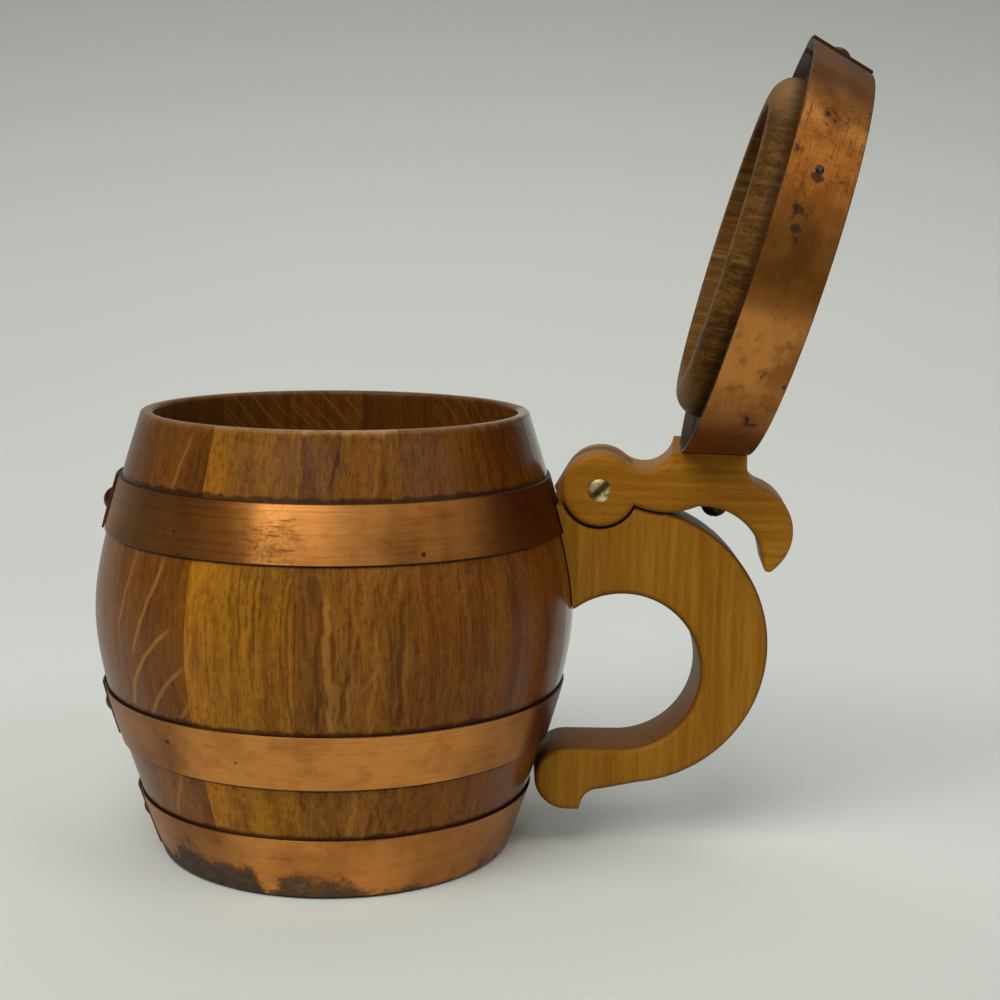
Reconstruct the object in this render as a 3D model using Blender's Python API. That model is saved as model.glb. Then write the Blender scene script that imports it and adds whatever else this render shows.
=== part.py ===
"""Coopered beer mug with a hinged lid, shown with the lid open on its stop.

Metres, +Z up. The origin is on the barrel's axis, on the surface that the mug stands on.
The handle points along +X, and the lid turns about an axis along Y.
"""
import math

import bmesh
import bpy
from mathutils import Matrix, Vector

# Fits
FIT_GAP = 0.0003
SEAT_GAP = 0.00015
HOLE_GAP = 0.0002

# Barrel
BARREL_HEIGHT = 0.1333
BASE_RADIUS = 0.0525
BELLY_RADIUS = 0.0720
RIM_RADIUS = 0.0577
BELLY_HEIGHT = 0.0743
BELLY_ROUNDNESS = 0.33
STAVE_COUNT = 14
STAVE_THICKNESS = 0.0080
STAVE_GAP = 0.0002
LIP_THICKNESS = 0.0035
FIRST_SEAM_ANGLE = math.radians(-3.8)

# Bottom head and its groove in the staves
HEAD_THICKNESS = 0.0080
HEAD_RECESS = 0.0060
CROZE_DEPTH = 0.0020

# Copper hoops: heights of their edges, strip and lap
UPPER_HOOP_DROP = 0.0187
UPPER_HOOP_WIDTH = 0.0160
MIDDLE_HOOP_LOW = 0.0356
MIDDLE_HOOP_HIGH = 0.0520
BOTTOM_HOOP_LOW = 0.0006
BOTTOM_HOOP_HIGH = 0.0194
HOOP_THICKNESS = 0.0007
HOOP_LAP = 0.0130
HOOP_LAP_END_ANGLE = math.radians(-78.0)

# Rivets
RIVET_HEAD_RADIUS = 0.0032
RIVET_HEAD_HEIGHT = 0.0016
RIVET_SHANK_RADIUS = 0.0014

# Handle board
BOARD_THICKNESS = 0.0240
BOARD_ROUNDING = 0.0008
GRIP_REACH = 0.0160
GRIP_TOP_DROP = 0.0053
GRIP_BOTTOM_HEIGHT = 0.0211
FINGER_REACH = 0.0145
NECK_DEPTH = 0.0261
ARM_DEPTH = 0.0111
FOOT_RADIUS = 0.0098
FOOT_TIP_WIDTH = 0.0040
SPUR_RADIUS = 0.0062
GRIP_END_ANGLE = math.radians(-84.0)
DOWEL_RADIUS = 0.0030
DOWEL_DEPTH = 0.0140
DOWEL_DROPS = (0.0287, 0.0182)

# Hinge
PIVOT_DROP = 0.0221
KNUCKLE_RADIUS = 0.0112
KNUCKLE_STANDOFF = 0.0028
KNUCKLE_GAP = 0.0005
TONGUE_THICKNESS = 0.0080
TONGUE_SIDE_GAP = 0.0003
TONGUE_SHOULDER_ANGLE = math.radians(150.0)
SHOULDER_DROP = 0.0045
SLOT_END_GAP = 0.0008
NOTCH_ANGLE = math.radians(-23.0)
OPEN_ANGLE = math.radians(105.8)
HINGE_SKEW = math.radians(-4.2)

# Thumb lever
DIP_RADIUS = 0.0092
DIP_RISE = 0.0028
REST_REACH = 0.0190
REST_LENGTH = 0.0186
REST_SLACK = 1.3
HOOK_DROP = 0.0245
HOOK_RADIUS = 0.0142
HOOK_TIP_RADIUS = 0.0016
HOOK_TIP_ANGLE = math.radians(-54.0)
HOOK_NECK_RADIUS = 0.0068
PALM_RADIUS = 0.0180
PALM_OFFSET = 0.0019
PALM_END_ANGLE = math.radians(22.0)

# Screws
PIVOT_HEAD_RADIUS = 0.0034
PIVOT_HEAD_DOME = 0.0005
PIVOT_SHANK_RADIUS = 0.00175
PIVOT_END_COVER = 0.0040
DRIVER_SLOT_WIDTH = 0.0009
DRIVER_SLOT_DEPTH = 0.0009
LID_SCREW_REACH = 0.0345
LID_SCREW_HEAD_RADIUS = 0.0042
LID_SCREW_HEAD_HEIGHT = 0.0044
LID_SCREW_SHANK_RADIUS = 0.00175
LID_SCREW_SEAT_DEPTH = 0.0004
LID_SCREW_GRIP = 0.0120

# Lid
LID_OVERHANG = 0.0039
BAND_HEIGHT = 0.0190
BAND_TAPER = math.radians(14.5)
BAND_DROP = 0.0030
BAND_THICKNESS = 0.0009
BAND_LAP = 0.0140
BAND_LAP_END_ANGLE = math.radians(-84.0)
PLUG_GAP = 0.0038
PLUG_DEPTH = 0.0095
PLUG_ROUNDING = 0.0070
PLUG_RING_WIDTH = 0.0095
HOLLOW_DEPTH = 0.0115
HOLLOW_COVE = 0.0030
LID_TOP_CHAMFER = 0.0010
NAIL_ANGLE = math.radians(-24.2)
NAIL_HEIGHT = 0.0086
NAIL_HEAD_RADIUS = 0.0013
NAIL_HEAD_HEIGHT = 0.0005
NAIL_SHANK_RADIUS = 0.0007
NAIL_LENGTH = 0.0120

# Mesh fineness
STAVE_STEPS = 4
STAVE_LEVELS = 10
TURN_STEPS = 56
SMALL_TURN_STEPS = 16
ARC_TOLERANCE = 0.00004
SMOOTH_ANGLE = math.radians(32.0)
SEAT_LEVELS = 10

# Finishes: colour, roughness, metallic
OAK = ((0.30, 0.135, 0.040), 0.42, 0.0)
PALE_WOOD = ((0.36, 0.185, 0.052), 0.45, 0.0)
COPPER = ((0.60, 0.27, 0.13), 0.38, 1.0)
BRASS = ((0.72, 0.56, 0.26), 0.30, 1.0)
DARK_STEEL = ((0.05, 0.05, 0.05), 0.45, 1.0)

# Sizes that follow from the driving ones
MOUTH_RADIUS = RIM_RADIUS - LIP_THICKNESS
UPPER_HOOP_HIGH = BARREL_HEIGHT - UPPER_HOOP_DROP
UPPER_HOOP_LOW = UPPER_HOOP_HIGH - UPPER_HOOP_WIDTH
PIVOT_HEIGHT = BARREL_HEIGHT - PIVOT_DROP
GRIP_TOP_HEIGHT = PIVOT_HEIGHT - GRIP_TOP_DROP
GRIP_RADIUS = (GRIP_TOP_HEIGHT - GRIP_BOTTOM_HEIGHT) / 2
GRIP_CENTRE_HEIGHT = GRIP_BOTTOM_HEIGHT + GRIP_RADIUS
FINGER_BOTTOM_HEIGHT = GRIP_BOTTOM_HEIGHT + ARM_DEPTH
FINGER_RADIUS = (GRIP_TOP_HEIGHT - NECK_DEPTH - FINGER_BOTTOM_HEIGHT) / 2
FINGER_CENTRE_HEIGHT = FINGER_BOTTOM_HEIGHT + FINGER_RADIUS
FOOT_CENTRE_HEIGHT = FINGER_BOTTOM_HEIGHT - FOOT_RADIUS
DOWEL_HEIGHTS = tuple(PIVOT_HEIGHT - drop for drop in DOWEL_DROPS)
HALF_BOARD = BOARD_THICKNESS / 2
HALF_TONGUE = TONGUE_THICKNESS / 2
POCKET_RADIUS = KNUCKLE_RADIUS + KNUCKLE_GAP
BAND_LOW_RADIUS = RIM_RADIUS + LID_OVERHANG
LID_SEAT_HEIGHT = BARREL_HEIGHT + FIT_GAP
LID_TOP = BAND_HEIGHT - BAND_DROP
PLUG_RADIUS = MOUTH_RADIUS - PLUG_GAP
Y_AXIS_MATRIX = Matrix.Rotation(math.pi / 2, 4, "X")


def barrel_radius(height):
    """Outer radius of the staves: straight tapers with a rounded belly between them."""
    if height > BELLY_HEIGHT:
        drop = BELLY_RADIUS - RIM_RADIUS
        share = (height - BELLY_HEIGHT) / (BARREL_HEIGHT - BELLY_HEIGHT)
    else:
        drop = BELLY_RADIUS - BASE_RADIUS
        share = (BELLY_HEIGHT - height) / BELLY_HEIGHT
    full = math.hypot(1.0, BELLY_ROUNDNESS) - BELLY_ROUNDNESS
    return BELLY_RADIUS - drop * (math.hypot(share, BELLY_ROUNDNESS) - BELLY_ROUNDNESS) / full


def bore_radius(height):
    """Inner radius of the staves, cylindrical at the mouth."""
    parallel = barrel_radius(height) - STAVE_THICKNESS
    if height > BELLY_HEIGHT:
        return max(parallel, MOUTH_RADIUS)
    return parallel


def hoop_inside(height):
    return barrel_radius(height) + FIT_GAP


def hoop_outside(height):
    return hoop_inside(height) + HOOP_THICKNESS


def band_outside(height):
    """Outer radius of the lid band at a height above the lid's seat."""
    return BAND_LOW_RADIUS - (height + BAND_DROP) * math.tan(BAND_TAPER)


def band_inside(height):
    return band_outside(height) - BAND_THICKNESS


PIVOT_REACH = hoop_outside(PIVOT_HEIGHT) + KNUCKLE_STANDOFF + KNUCKLE_RADIUS


def lid_to_hinge(x, height):
    """Point of the lid's middle plane in the hinge's frame, with the lid open."""
    across = x - PIVOT_REACH * math.cos(HINGE_SKEW)
    above = LID_SEAT_HEIGHT + height - PIVOT_HEIGHT
    turned_x = across * math.cos(OPEN_ANGLE) + above * math.sin(OPEN_ANGLE)
    turned_z = above * math.cos(OPEN_ANGLE) - across * math.sin(OPEN_ANGLE)
    return turned_x, turned_z


def clear_scene():
    for item in list(bpy.data.objects):
        bpy.data.objects.remove(item, do_unlink=True)


def make_material(name, finish):
    colour, roughness, metallic = finish
    material = bpy.data.materials.new(name)
    material.use_nodes = True
    shader = material.node_tree.nodes["Principled BSDF"]
    shader.inputs["Base Color"].default_value = (*colour, 1.0)
    shader.inputs["Roughness"].default_value = roughness
    shader.inputs["Metallic"].default_value = metallic
    return material


def make_empty(name, location, parent=None, rotation=(0.0, 0.0, 0.0)):
    empty = bpy.data.objects.new(name, None)
    empty.location = location
    empty.rotation_euler = rotation
    empty.parent = parent
    bpy.context.collection.objects.link(empty)
    return empty


def make_object(name, bm, finish=None, parent=None, matrix=None):
    """Turn a bmesh into a named object. Without a finish it is a cutter."""
    bmesh.ops.recalc_face_normals(bm, faces=bm.faces)
    mesh = bpy.data.meshes.new(name)
    bm.to_mesh(mesh)
    bm.free()
    item = bpy.data.objects.new(name, mesh)
    bpy.context.collection.objects.link(item)
    item.parent = parent
    if matrix is not None:
        item.matrix_local = matrix
    if finish is None:
        item.hide_render = True
        item.display_type = "WIRE"
    else:
        mesh.materials.append(make_material(name, finish))
        mesh.shade_smooth()
        mesh.set_sharp_from_angle(angle=SMOOTH_ANGLE)
    return item


def cut(target, *cutters):
    for cutter in cutters:
        modifier = target.modifiers.new(cutter.name, "BOOLEAN")
        modifier.operation = "DIFFERENCE"
        modifier.object = cutter


def direction(angle):
    """Unit vector at an angle from the front, -Y, growing towards +X."""
    return math.sin(angle), -math.cos(angle)


def levels(low, high, count):
    return [low + (high - low) * step / count for step in range(count + 1)]


def polar(centre, radius, angle):
    return centre[0] + radius * math.cos(angle), centre[1] + radius * math.sin(angle)


def arc(centre, radius, start, end):
    """Points of an arc in an outline's plane, from one angle to the other."""
    step = 2 * math.acos(1 - ARC_TOLERANCE / radius)
    count = max(2, math.ceil(abs(end - start) / step))
    return [polar(centre, radius, angle) for angle in levels(start, end, count)]


def circle_through(first, middle, last):
    """Centre and radius of the circle through three points."""
    ax, az = middle[0] - first[0], middle[1] - first[1]
    bx, bz = last[0] - first[0], last[1] - first[1]
    twice = 2 * (ax * bz - az * bx)
    a_square = ax * ax + az * az
    b_square = bx * bx + bz * bz
    x = (bz * a_square - az * b_square) / twice
    z = (ax * b_square - bx * a_square) / twice
    return (first[0] + x, first[1] + z), math.hypot(x, z)


def angle_to(centre, point):
    return math.atan2(point[1] - centre[1], point[0] - centre[0])


def loft(rings, closed_round):
    """Skin a row of equal rings of points. A strip gets an end face on its first and last ring."""
    bm = bmesh.new()
    rows = [[bm.verts.new(point) for point in ring] for ring in rings]
    pairs = list(zip(rows, rows[1:]))
    if closed_round:
        pairs.append((rows[-1], rows[0]))
    for row, following in pairs:
        for index, vertex in enumerate(row):
            beside = (index + 1) % len(row)
            bm.faces.new((vertex, following[index], following[beside], row[beside]))
    if not closed_round:
        bm.faces.new(rows[0])
        bm.faces.new(list(reversed(rows[-1])))
    return bm


def turned(profile, steps):
    """Solid of revolution about Z from a profile of (radius, height) that ends on the axis."""
    bm = bmesh.new()
    rows = []
    for radius, height in profile:
        if radius == 0.0:
            rows.append([bm.verts.new((0.0, 0.0, height))])
            continue
        angles = [math.tau * step / steps for step in range(steps)]
        points = [(radius * math.cos(angle), radius * math.sin(angle), height) for angle in angles]
        rows.append([bm.verts.new(point) for point in points])
    for row, following in zip(rows, rows[1:]):
        for index in range(steps):
            corners = [
                row[index % len(row)],
                row[(index + 1) % len(row)],
                following[(index + 1) % len(following)],
                following[index % len(following)],
            ]
            bm.faces.new(list(dict.fromkeys(corners)))
    return bm


def inset(outline, distance):
    """Outline moved inwards along the bisectors of its corners."""
    corners = [Vector(point) for point in outline]
    beside = list(zip(corners[-1:] + corners[:-1], corners, corners[1:] + corners[:1]))
    area = sum(point.x * following.y - following.x * point.y for _, point, following in beside)
    side = math.copysign(distance, area)
    moved = []
    for before, point, following in beside:
        first = (point - before).normalized()
        second = (following - point).normalized()
        bisector = Vector((-first.y - second.y, first.x + second.x))
        moved.append(point + bisector * (side / (1 + first.dot(second))))
    return moved


def prism(outline, near, far, rounding=0.0):
    """Sawn board: an outline in X and Z, from one Y to another, with its edges eased."""
    section = [(near, 0.0), (far, 0.0)]
    if rounding:
        angles = levels(1.5 * math.pi, math.pi, 2)
        quarter = [polar((rounding, rounding), rounding, angle) for angle in angles]
        eased = [(depth, along) for along, depth in reversed(quarter)]
        section = [(far - along, depth) for along, depth in reversed(eased)]
        section += [(near + along, depth) for along, depth in eased]
    rings = [[(x, y, z) for x, z in inset(outline, depth)] for y, depth in section]
    return loft(rings, closed_round=False)


def cylinder_cutter(name, radius, low, high, parent=None, matrix=None, steps=SMALL_TURN_STEPS):
    bm = turned([(0.0, low), (radius, low), (radius, high), (0.0, high)], steps)
    return make_object(name, bm, parent=parent, matrix=matrix)


def stave_section():
    """Section of a stave in radius and height, with the groove for the bottom head."""
    groove_low = HEAD_RECESS - FIT_GAP
    groove_high = HEAD_RECESS + HEAD_THICKNESS + FIT_GAP
    groove_radius = bore_radius(groove_high) + CROZE_DEPTH
    outside = [(barrel_radius(z), z) for z in levels(0.0, BARREL_HEIGHT, STAVE_LEVELS)]
    inside = [(bore_radius(z), z) for z in levels(groove_high, BARREL_HEIGHT, STAVE_LEVELS)]
    inside.reverse()
    groove = [
        (groove_radius, groove_high),
        (groove_radius, groove_low),
        (bore_radius(groove_low), groove_low),
        (bore_radius(0.0), 0.0),
    ]
    return outside + inside + groove


def make_stave(number, dowel_cutters):
    """One stave between two seams, with flat edges set back from the seam planes."""
    pitch = math.tau / STAVE_COUNT
    start = FIRST_SEAM_ANGLE + number * pitch
    rings = []
    for share in levels(0.0, 1.0, STAVE_STEPS):
        ring = []
        for radius, height in stave_section():
            set_back = math.asin(STAVE_GAP / 2 / radius)
            angle = start + set_back + share * (pitch - 2 * set_back)
            x, y = direction(angle)
            ring.append((radius * x, radius * y, height))
        rings.append(ring)
    stave = make_object(f"stave_{number + 1:02d}", loft(rings, closed_round=False), OAK)
    dowel_half_angle = (DOWEL_RADIUS + HOLE_GAP + STAVE_GAP) / min(BASE_RADIUS, RIM_RADIUS)
    from_handle = (start + pitch / 2 - math.pi / 2 + math.pi) % math.tau - math.pi
    if abs(from_handle) < pitch / 2 + dowel_half_angle:
        cut(stave, *dowel_cutters)


def make_head():
    groove_radius = bore_radius(HEAD_RECESS + HEAD_THICKNESS + FIT_GAP) + CROZE_DEPTH
    radius = (groove_radius - FIT_GAP) * math.cos(math.pi / STAVE_COUNT / STAVE_STEPS)
    low, high = HEAD_RECESS, HEAD_RECESS + HEAD_THICKNESS
    profile = [(0.0, low), (bore_radius(low) - 2 * FIT_GAP, low), (radius, low + CROZE_DEPTH / 2)]
    profile += [(radius, high), (0.0, high)]
    make_object("bottom_head", turned(profile, TURN_STEPS), OAK)


def lapped_strip(inside, outside, low, high, lap, lap_end):
    """Metal strip bent round a turned form, its last stretch lying on its first."""
    lap_angle = lap / inside((low + high) / 2)
    pitch = math.tau / TURN_STEPS
    lap_steps = math.floor(lap_angle / pitch)
    turns = [pitch * step for step in range(TURN_STEPS + lap_steps + 1)]
    turns.append(math.tau + lap_angle)
    thickness = outside(low) - inside(low)
    heights = levels(low, high, 2)
    rings = []
    for step, turn in enumerate(turns):
        lift = thickness + SEAT_GAP if step >= TURN_STEPS else 0.0
        x, y = direction(lap_end - lap_angle + turn)
        section = [(inside(z) + lift, z) for z in heights]
        section += [(outside(z) + lift, z) for z in reversed(heights)]
        rings.append([(radius * x, radius * y, z) for radius, z in section])
    return loft(rings, closed_round=False)


def fastener_matrix(outside, height, angle, lift):
    """Frame on a turned form's surface, with Z along the outward normal."""
    step = SEAT_GAP
    slope = (outside(height + step) - outside(height - step)) / (2 * step)
    x, y = direction(angle)
    radius = outside(height) + lift
    normal = Vector((x, y, -slope))
    turn = normal.to_track_quat("Z", "Y").to_matrix().to_4x4()
    return Matrix.Translation((radius * x, radius * y, height)) @ turn


def domed_profile(head_radius, head_height, shank_radius, shank_end, head_seat):
    """Round-headed fastener along Z, its head above its seat and its shank below."""
    crown = circle_through((head_radius, 0.0), (0.0, head_height), (-head_radius, 0.0))
    start = angle_to(crown[0], (head_radius, 0.0))
    profile = [(0.0, shank_end), (shank_radius, shank_end), (shank_radius, head_seat)]
    profile += [(max(x, 0.0), z + head_seat) for x, z in arc(*crown, start, math.pi / 2)][:-1]
    return profile + [(0.0, head_seat + head_height)]


def rivet_lap(name, strip, outside, height, lap_middle, thickness, parent=None):
    """Rivet through both layers of a lap, its foot flush with the inner layer."""
    matrix = fastener_matrix(outside, height, lap_middle, thickness + SEAT_GAP)
    depth = 2 * thickness + SEAT_GAP
    cutter = cylinder_cutter(
        f"{name}_hole", RIVET_SHANK_RADIUS + HOLE_GAP, -2 * depth, depth, parent, matrix
    )
    cut(strip, cutter)
    profile = domed_profile(
        RIVET_HEAD_RADIUS, RIVET_HEAD_HEIGHT, RIVET_SHANK_RADIUS, -depth, SEAT_GAP
    )
    make_object(name, turned(profile, SMALL_TURN_STEPS), COPPER, parent, matrix)


def make_hoop(name, low, high):
    bm = lapped_strip(hoop_inside, hoop_outside, low, high, HOOP_LAP, HOOP_LAP_END_ANGLE)
    hoop = make_object(name, bm, COPPER)
    middle = (low + high) / 2
    lap_middle = HOOP_LAP_END_ANGLE - HOOP_LAP / 2 / hoop_inside(middle)
    rivet_lap(f"{name}_rivet", hoop, hoop_outside, middle, lap_middle, HOOP_THICKNESS)


def make_dowel_cutters():
    """Bores for the handle's dowels, along X from inside the barrel wall."""
    matrix = Matrix.Rotation(math.pi / 2, 4, "Y")
    cutters = []
    for number, height in enumerate(DOWEL_HEIGHTS):
        low = barrel_radius(height) - STAVE_THICKNESS / 2 - FIT_GAP
        high = barrel_radius(height) + DOWEL_DEPTH + FIT_GAP
        place = Matrix.Translation((0.0, 0.0, height)) @ matrix
        radius = DOWEL_RADIUS + HOLE_GAP
        cutters.append(cylinder_cutter(f"dowel_bore_{number}", radius, low, high, matrix=place))
    return cutters


def make_dowels():
    matrix = Matrix.Rotation(math.pi / 2, 4, "Y")
    for name, height in zip(("handle_dowel_lower", "handle_dowel_upper"), DOWEL_HEIGHTS):
        low = barrel_radius(height) - STAVE_THICKNESS / 2
        high = barrel_radius(height) + DOWEL_DEPTH
        ease = DOWEL_RADIUS / 4
        profile = [(0.0, low), (DOWEL_RADIUS - ease, low), (DOWEL_RADIUS, low + ease)]
        profile += [(DOWEL_RADIUS, high - ease), (DOWEL_RADIUS - ease, high), (0.0, high)]
        place = Matrix.Translation((0.0, 0.0, height)) @ matrix
        make_object(name, turned(profile, SMALL_TURN_STEPS), PALE_WOOD, matrix=place)


def grip_centre():
    return BELLY_RADIUS + GRIP_REACH, GRIP_CENTRE_HEIGHT


def finger_centre():
    return BELLY_RADIUS + FINGER_REACH, FINGER_CENTRE_HEIGHT


def foot_centre():
    """Centre of the curled foot, whose side bears on the slope of the barrel."""
    step = FOOT_RADIUS / 2
    rise = barrel_radius(FOOT_CENTRE_HEIGHT + step) - barrel_radius(FOOT_CENTRE_HEIGHT - step)
    stretch = math.hypot(1.0, rise / (2 * step))
    return barrel_radius(FOOT_CENTRE_HEIGHT) + (FOOT_RADIUS + FIT_GAP) * stretch, FOOT_CENTRE_HEIGHT


def rest_circle():
    """Circle of the lever's underside where it lies on the handle, in the hinge's frame."""
    across = PIVOT_REACH + REST_REACH - grip_centre()[0]
    handle_top = GRIP_CENTRE_HEIGHT + math.sqrt(GRIP_RADIUS**2 - across**2) - PIVOT_HEIGHT
    notch = polar((0.0, 0.0), KNUCKLE_RADIUS, NOTCH_ANGLE)
    lowest = (REST_REACH, handle_top + FIT_GAP)
    far_end = (notch[0] + REST_LENGTH, notch[1])
    centre, radius = circle_through(notch, lowest, far_end)
    return centre, radius, notch, lowest, far_end


def handle_outline():
    """Board outline in X and Z: tongue, grip, foot, finger hole, and back inside the barrel."""
    pivot = (PIVOT_REACH, PIVOT_HEIGHT)
    grip, finger, foot = grip_centre(), finger_centre(), foot_centre()
    centre, radius, notch, lowest, _ = rest_circle()
    rest_radius = (radius + FIT_GAP) * REST_SLACK
    rest = (pivot[0] + centre[0], pivot[1] + lowest[1] - FIT_GAP + rest_radius)
    rest_end = (pivot[0] + lowest[0], pivot[1] + lowest[1] - FIT_GAP)
    spur_angle = math.asin((FOOT_TIP_WIDTH / 2) / FOOT_RADIUS) - math.pi / 2
    tip = polar(foot, FOOT_RADIUS, spur_angle)
    spur = (tip[0] + FOOT_TIP_WIDTH / 2 + SPUR_RADIUS, tip[1])
    finger_end = math.acos(-FINGER_REACH / FINGER_RADIUS)
    deep = barrel_radius(PIVOT_HEIGHT) - STAVE_THICKNESS
    shoulder = arc(pivot, KNUCKLE_RADIUS, TONGUE_SHOULDER_ANGLE, NOTCH_ANGLE)[:-1]
    fall = (shoulder[0][0] - deep) * math.tan(TONGUE_SHOULDER_ANGLE - math.pi / 2)
    outline = shoulder
    rest_start = -math.pi / 2 - math.asin((centre[0] - notch[0]) / rest_radius)
    outline += arc(rest, rest_radius, rest_start, angle_to(rest, rest_end))[:-1]
    outline += arc(grip, GRIP_RADIUS, angle_to(grip, rest_end), GRIP_END_ANGLE)
    outline += arc(spur, SPUR_RADIUS, math.pi / 2, math.pi)
    outline += arc(foot, FOOT_RADIUS, spur_angle, -1.5 * math.pi)
    outline += arc(finger, FINGER_RADIUS, -math.pi / 2, finger_end)
    outline += [(deep, outline[-1][1]), (deep, shoulder[0][1] - fall)]
    return outline


def make_barrel_cutter():
    """Barrel with its hoops, grown by the fit, that shapes the handle's seat."""
    profile = [(0.0, -FIT_GAP), (barrel_radius(0.0) + FIT_GAP, -FIT_GAP)]
    edges = [0.0]
    hoops = [(BOTTOM_HOOP_LOW, BOTTOM_HOOP_HIGH), (MIDDLE_HOOP_LOW, MIDDLE_HOOP_HIGH)]
    hoops.append((UPPER_HOOP_LOW, UPPER_HOOP_HIGH))
    for low, high in hoops:
        low, high = low - FIT_GAP, high + FIT_GAP
        if low > edges[-1]:
            profile += [(barrel_radius(z) + FIT_GAP, z) for z in levels(edges[-1], low, SEAT_LEVELS)]
        profile += [(hoop_outside(z) + FIT_GAP, z) for z in levels(max(low, 0.0), high, SEAT_LEVELS)]
        edges.append(high)
    profile += [(barrel_radius(z) + FIT_GAP, z) for z in levels(edges[-1], BARREL_HEIGHT, SEAT_LEVELS)]
    profile.append((0.0, BARREL_HEIGHT))
    return make_object("barrel_cutter", turned(profile, TURN_STEPS))


def make_pocket(name, near, far, hinge):
    """Room for one cheek of the lever's fork beside the handle's tongue."""
    drop_angle = math.asin(SHOULDER_DROP / POCKET_RADIUS)
    beyond = POCKET_RADIUS + HALF_BOARD * abs(math.sin(HINGE_SKEW)) + FIT_GAP
    floor = KNUCKLE_RADIUS * math.sin(NOTCH_ANGLE) - 3 * FIT_GAP
    outline = arc((0.0, 0.0), POCKET_RADIUS, math.pi + drop_angle, math.tau + math.asin(floor / POCKET_RADIUS))
    outline += [(beyond, floor), (beyond, POCKET_RADIUS)]
    outline += [(-PIVOT_REACH, POCKET_RADIUS), (-PIVOT_REACH, -SHOULDER_DROP)]
    return make_object(name, prism(outline, near, far), parent=hinge)


def make_handle(hinge, dowel_cutters):
    bm = prism(handle_outline(), -HALF_BOARD, HALF_BOARD, BOARD_ROUNDING)
    handle = make_object("handle", bm, PALE_WOOD)
    outside = BOARD_THICKNESS
    cut(
        handle,
        make_barrel_cutter(),
        make_pocket("front_pocket", -outside, -HALF_TONGUE, hinge),
        make_pocket("rear_pocket", HALF_TONGUE, outside, hinge),
        *dowel_cutters,
    )
    radius = PIVOT_SHANK_RADIUS + HOLE_GAP
    cut(handle, cylinder_cutter("tongue_bore", radius, -outside, outside, hinge, Y_AXIS_MATRIX))


def lever_outline():
    """Lever outline in the hinge's frame: underside, hook, lid seat, dip and knuckle."""
    centre, radius, notch, _, far_end = rest_circle()
    low_edge = lid_to_hinge(BAND_LOW_RADIUS, -BAND_DROP)
    top_edge = lid_to_hinge(band_outside(LID_TOP), LID_TOP)
    sagitta = BAND_LOW_RADIUS - math.sqrt(BAND_LOW_RADIUS**2 - HALF_BOARD**2)
    seat = max(low_edge[1], top_edge[1]) + sagitta
    end = top_edge[0]
    hook = (end, seat - HOOK_DROP)
    palm = palm_centre()
    tip_reach = HOOK_RADIUS - HOOK_TIP_RADIUS
    tip = polar(hook, tip_reach, HOOK_TIP_ANGLE)
    neck_rise = math.sqrt((HOOK_RADIUS + HOOK_NECK_RADIUS) ** 2 - HOOK_NECK_RADIUS**2)
    neck = (end + HOOK_NECK_RADIUS, hook[1] + neck_rise)
    dip_height = seat + DIP_RISE
    dip = (math.sqrt((KNUCKLE_RADIUS + DIP_RADIUS) ** 2 - dip_height**2), dip_height)
    far_side = HALF_BOARD + PIVOT_REACH * abs(math.sin(HINGE_SKEW))
    shoulder = seat - sagitta + BAND_LOW_RADIUS - math.sqrt(BAND_LOW_RADIUS**2 - far_side**2)
    dip_end = -math.asin((dip_height - shoulder) / DIP_RADIUS)
    meet = angle_to((0.0, 0.0), dip)
    hook_meet = angle_to(hook, neck)
    outline = arc(centre, radius, angle_to(centre, notch), angle_to(centre, far_end))
    outline += arc(palm, PALM_RADIUS, angle_to(palm, far_end), PALM_END_ANGLE)[1:]
    outline += arc(tip, HOOK_TIP_RADIUS, PALM_END_ANGLE - math.pi, HOOK_TIP_ANGLE)[:-1]
    outline += arc(hook, HOOK_RADIUS, HOOK_TIP_ANGLE, hook_meet)
    outline += arc(neck, HOOK_NECK_RADIUS, hook_meet + math.pi, math.pi)[1:]
    outline += [(end, shoulder)]
    outline += arc(dip, DIP_RADIUS, dip_end, meet - math.pi)
    outline += arc((0.0, 0.0), KNUCKLE_RADIUS, meet, math.tau + NOTCH_ANGLE)[1:-1]
    return outline


def palm_centre():
    """Centre of the hollow under the lever's hook, in the hinge's frame."""
    far_end = rest_circle()[4]
    return far_end[0] + PALM_OFFSET, far_end[1] - math.sqrt(PALM_RADIUS**2 - PALM_OFFSET**2)


def make_seat_cutter(lid_frame):
    """Cone of the lid band, grown by the fit, that hollows the lever's seat."""
    low = -2 * BAND_DROP
    high = LID_TOP + BAND_DROP
    profile = [(0.0, low), (band_outside(low) + FIT_GAP, low)]
    profile += [(band_outside(high) + FIT_GAP, high), (0.0, high)]
    return make_object("lever_seat_cutter", turned(profile, TURN_STEPS), parent=lid_frame)


def pivot_profile(gap):
    """Countersunk screw along its axis, its head flush with the board's face."""
    face = HALF_BOARD
    shank = PIVOT_SHANK_RADIUS + gap
    head = PIVOT_HEAD_RADIUS + gap
    end = PIVOT_END_COVER - HALF_BOARD - gap
    return [(0.0, end), (shank, end), (shank, face - head + shank), (head, face)]


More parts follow.
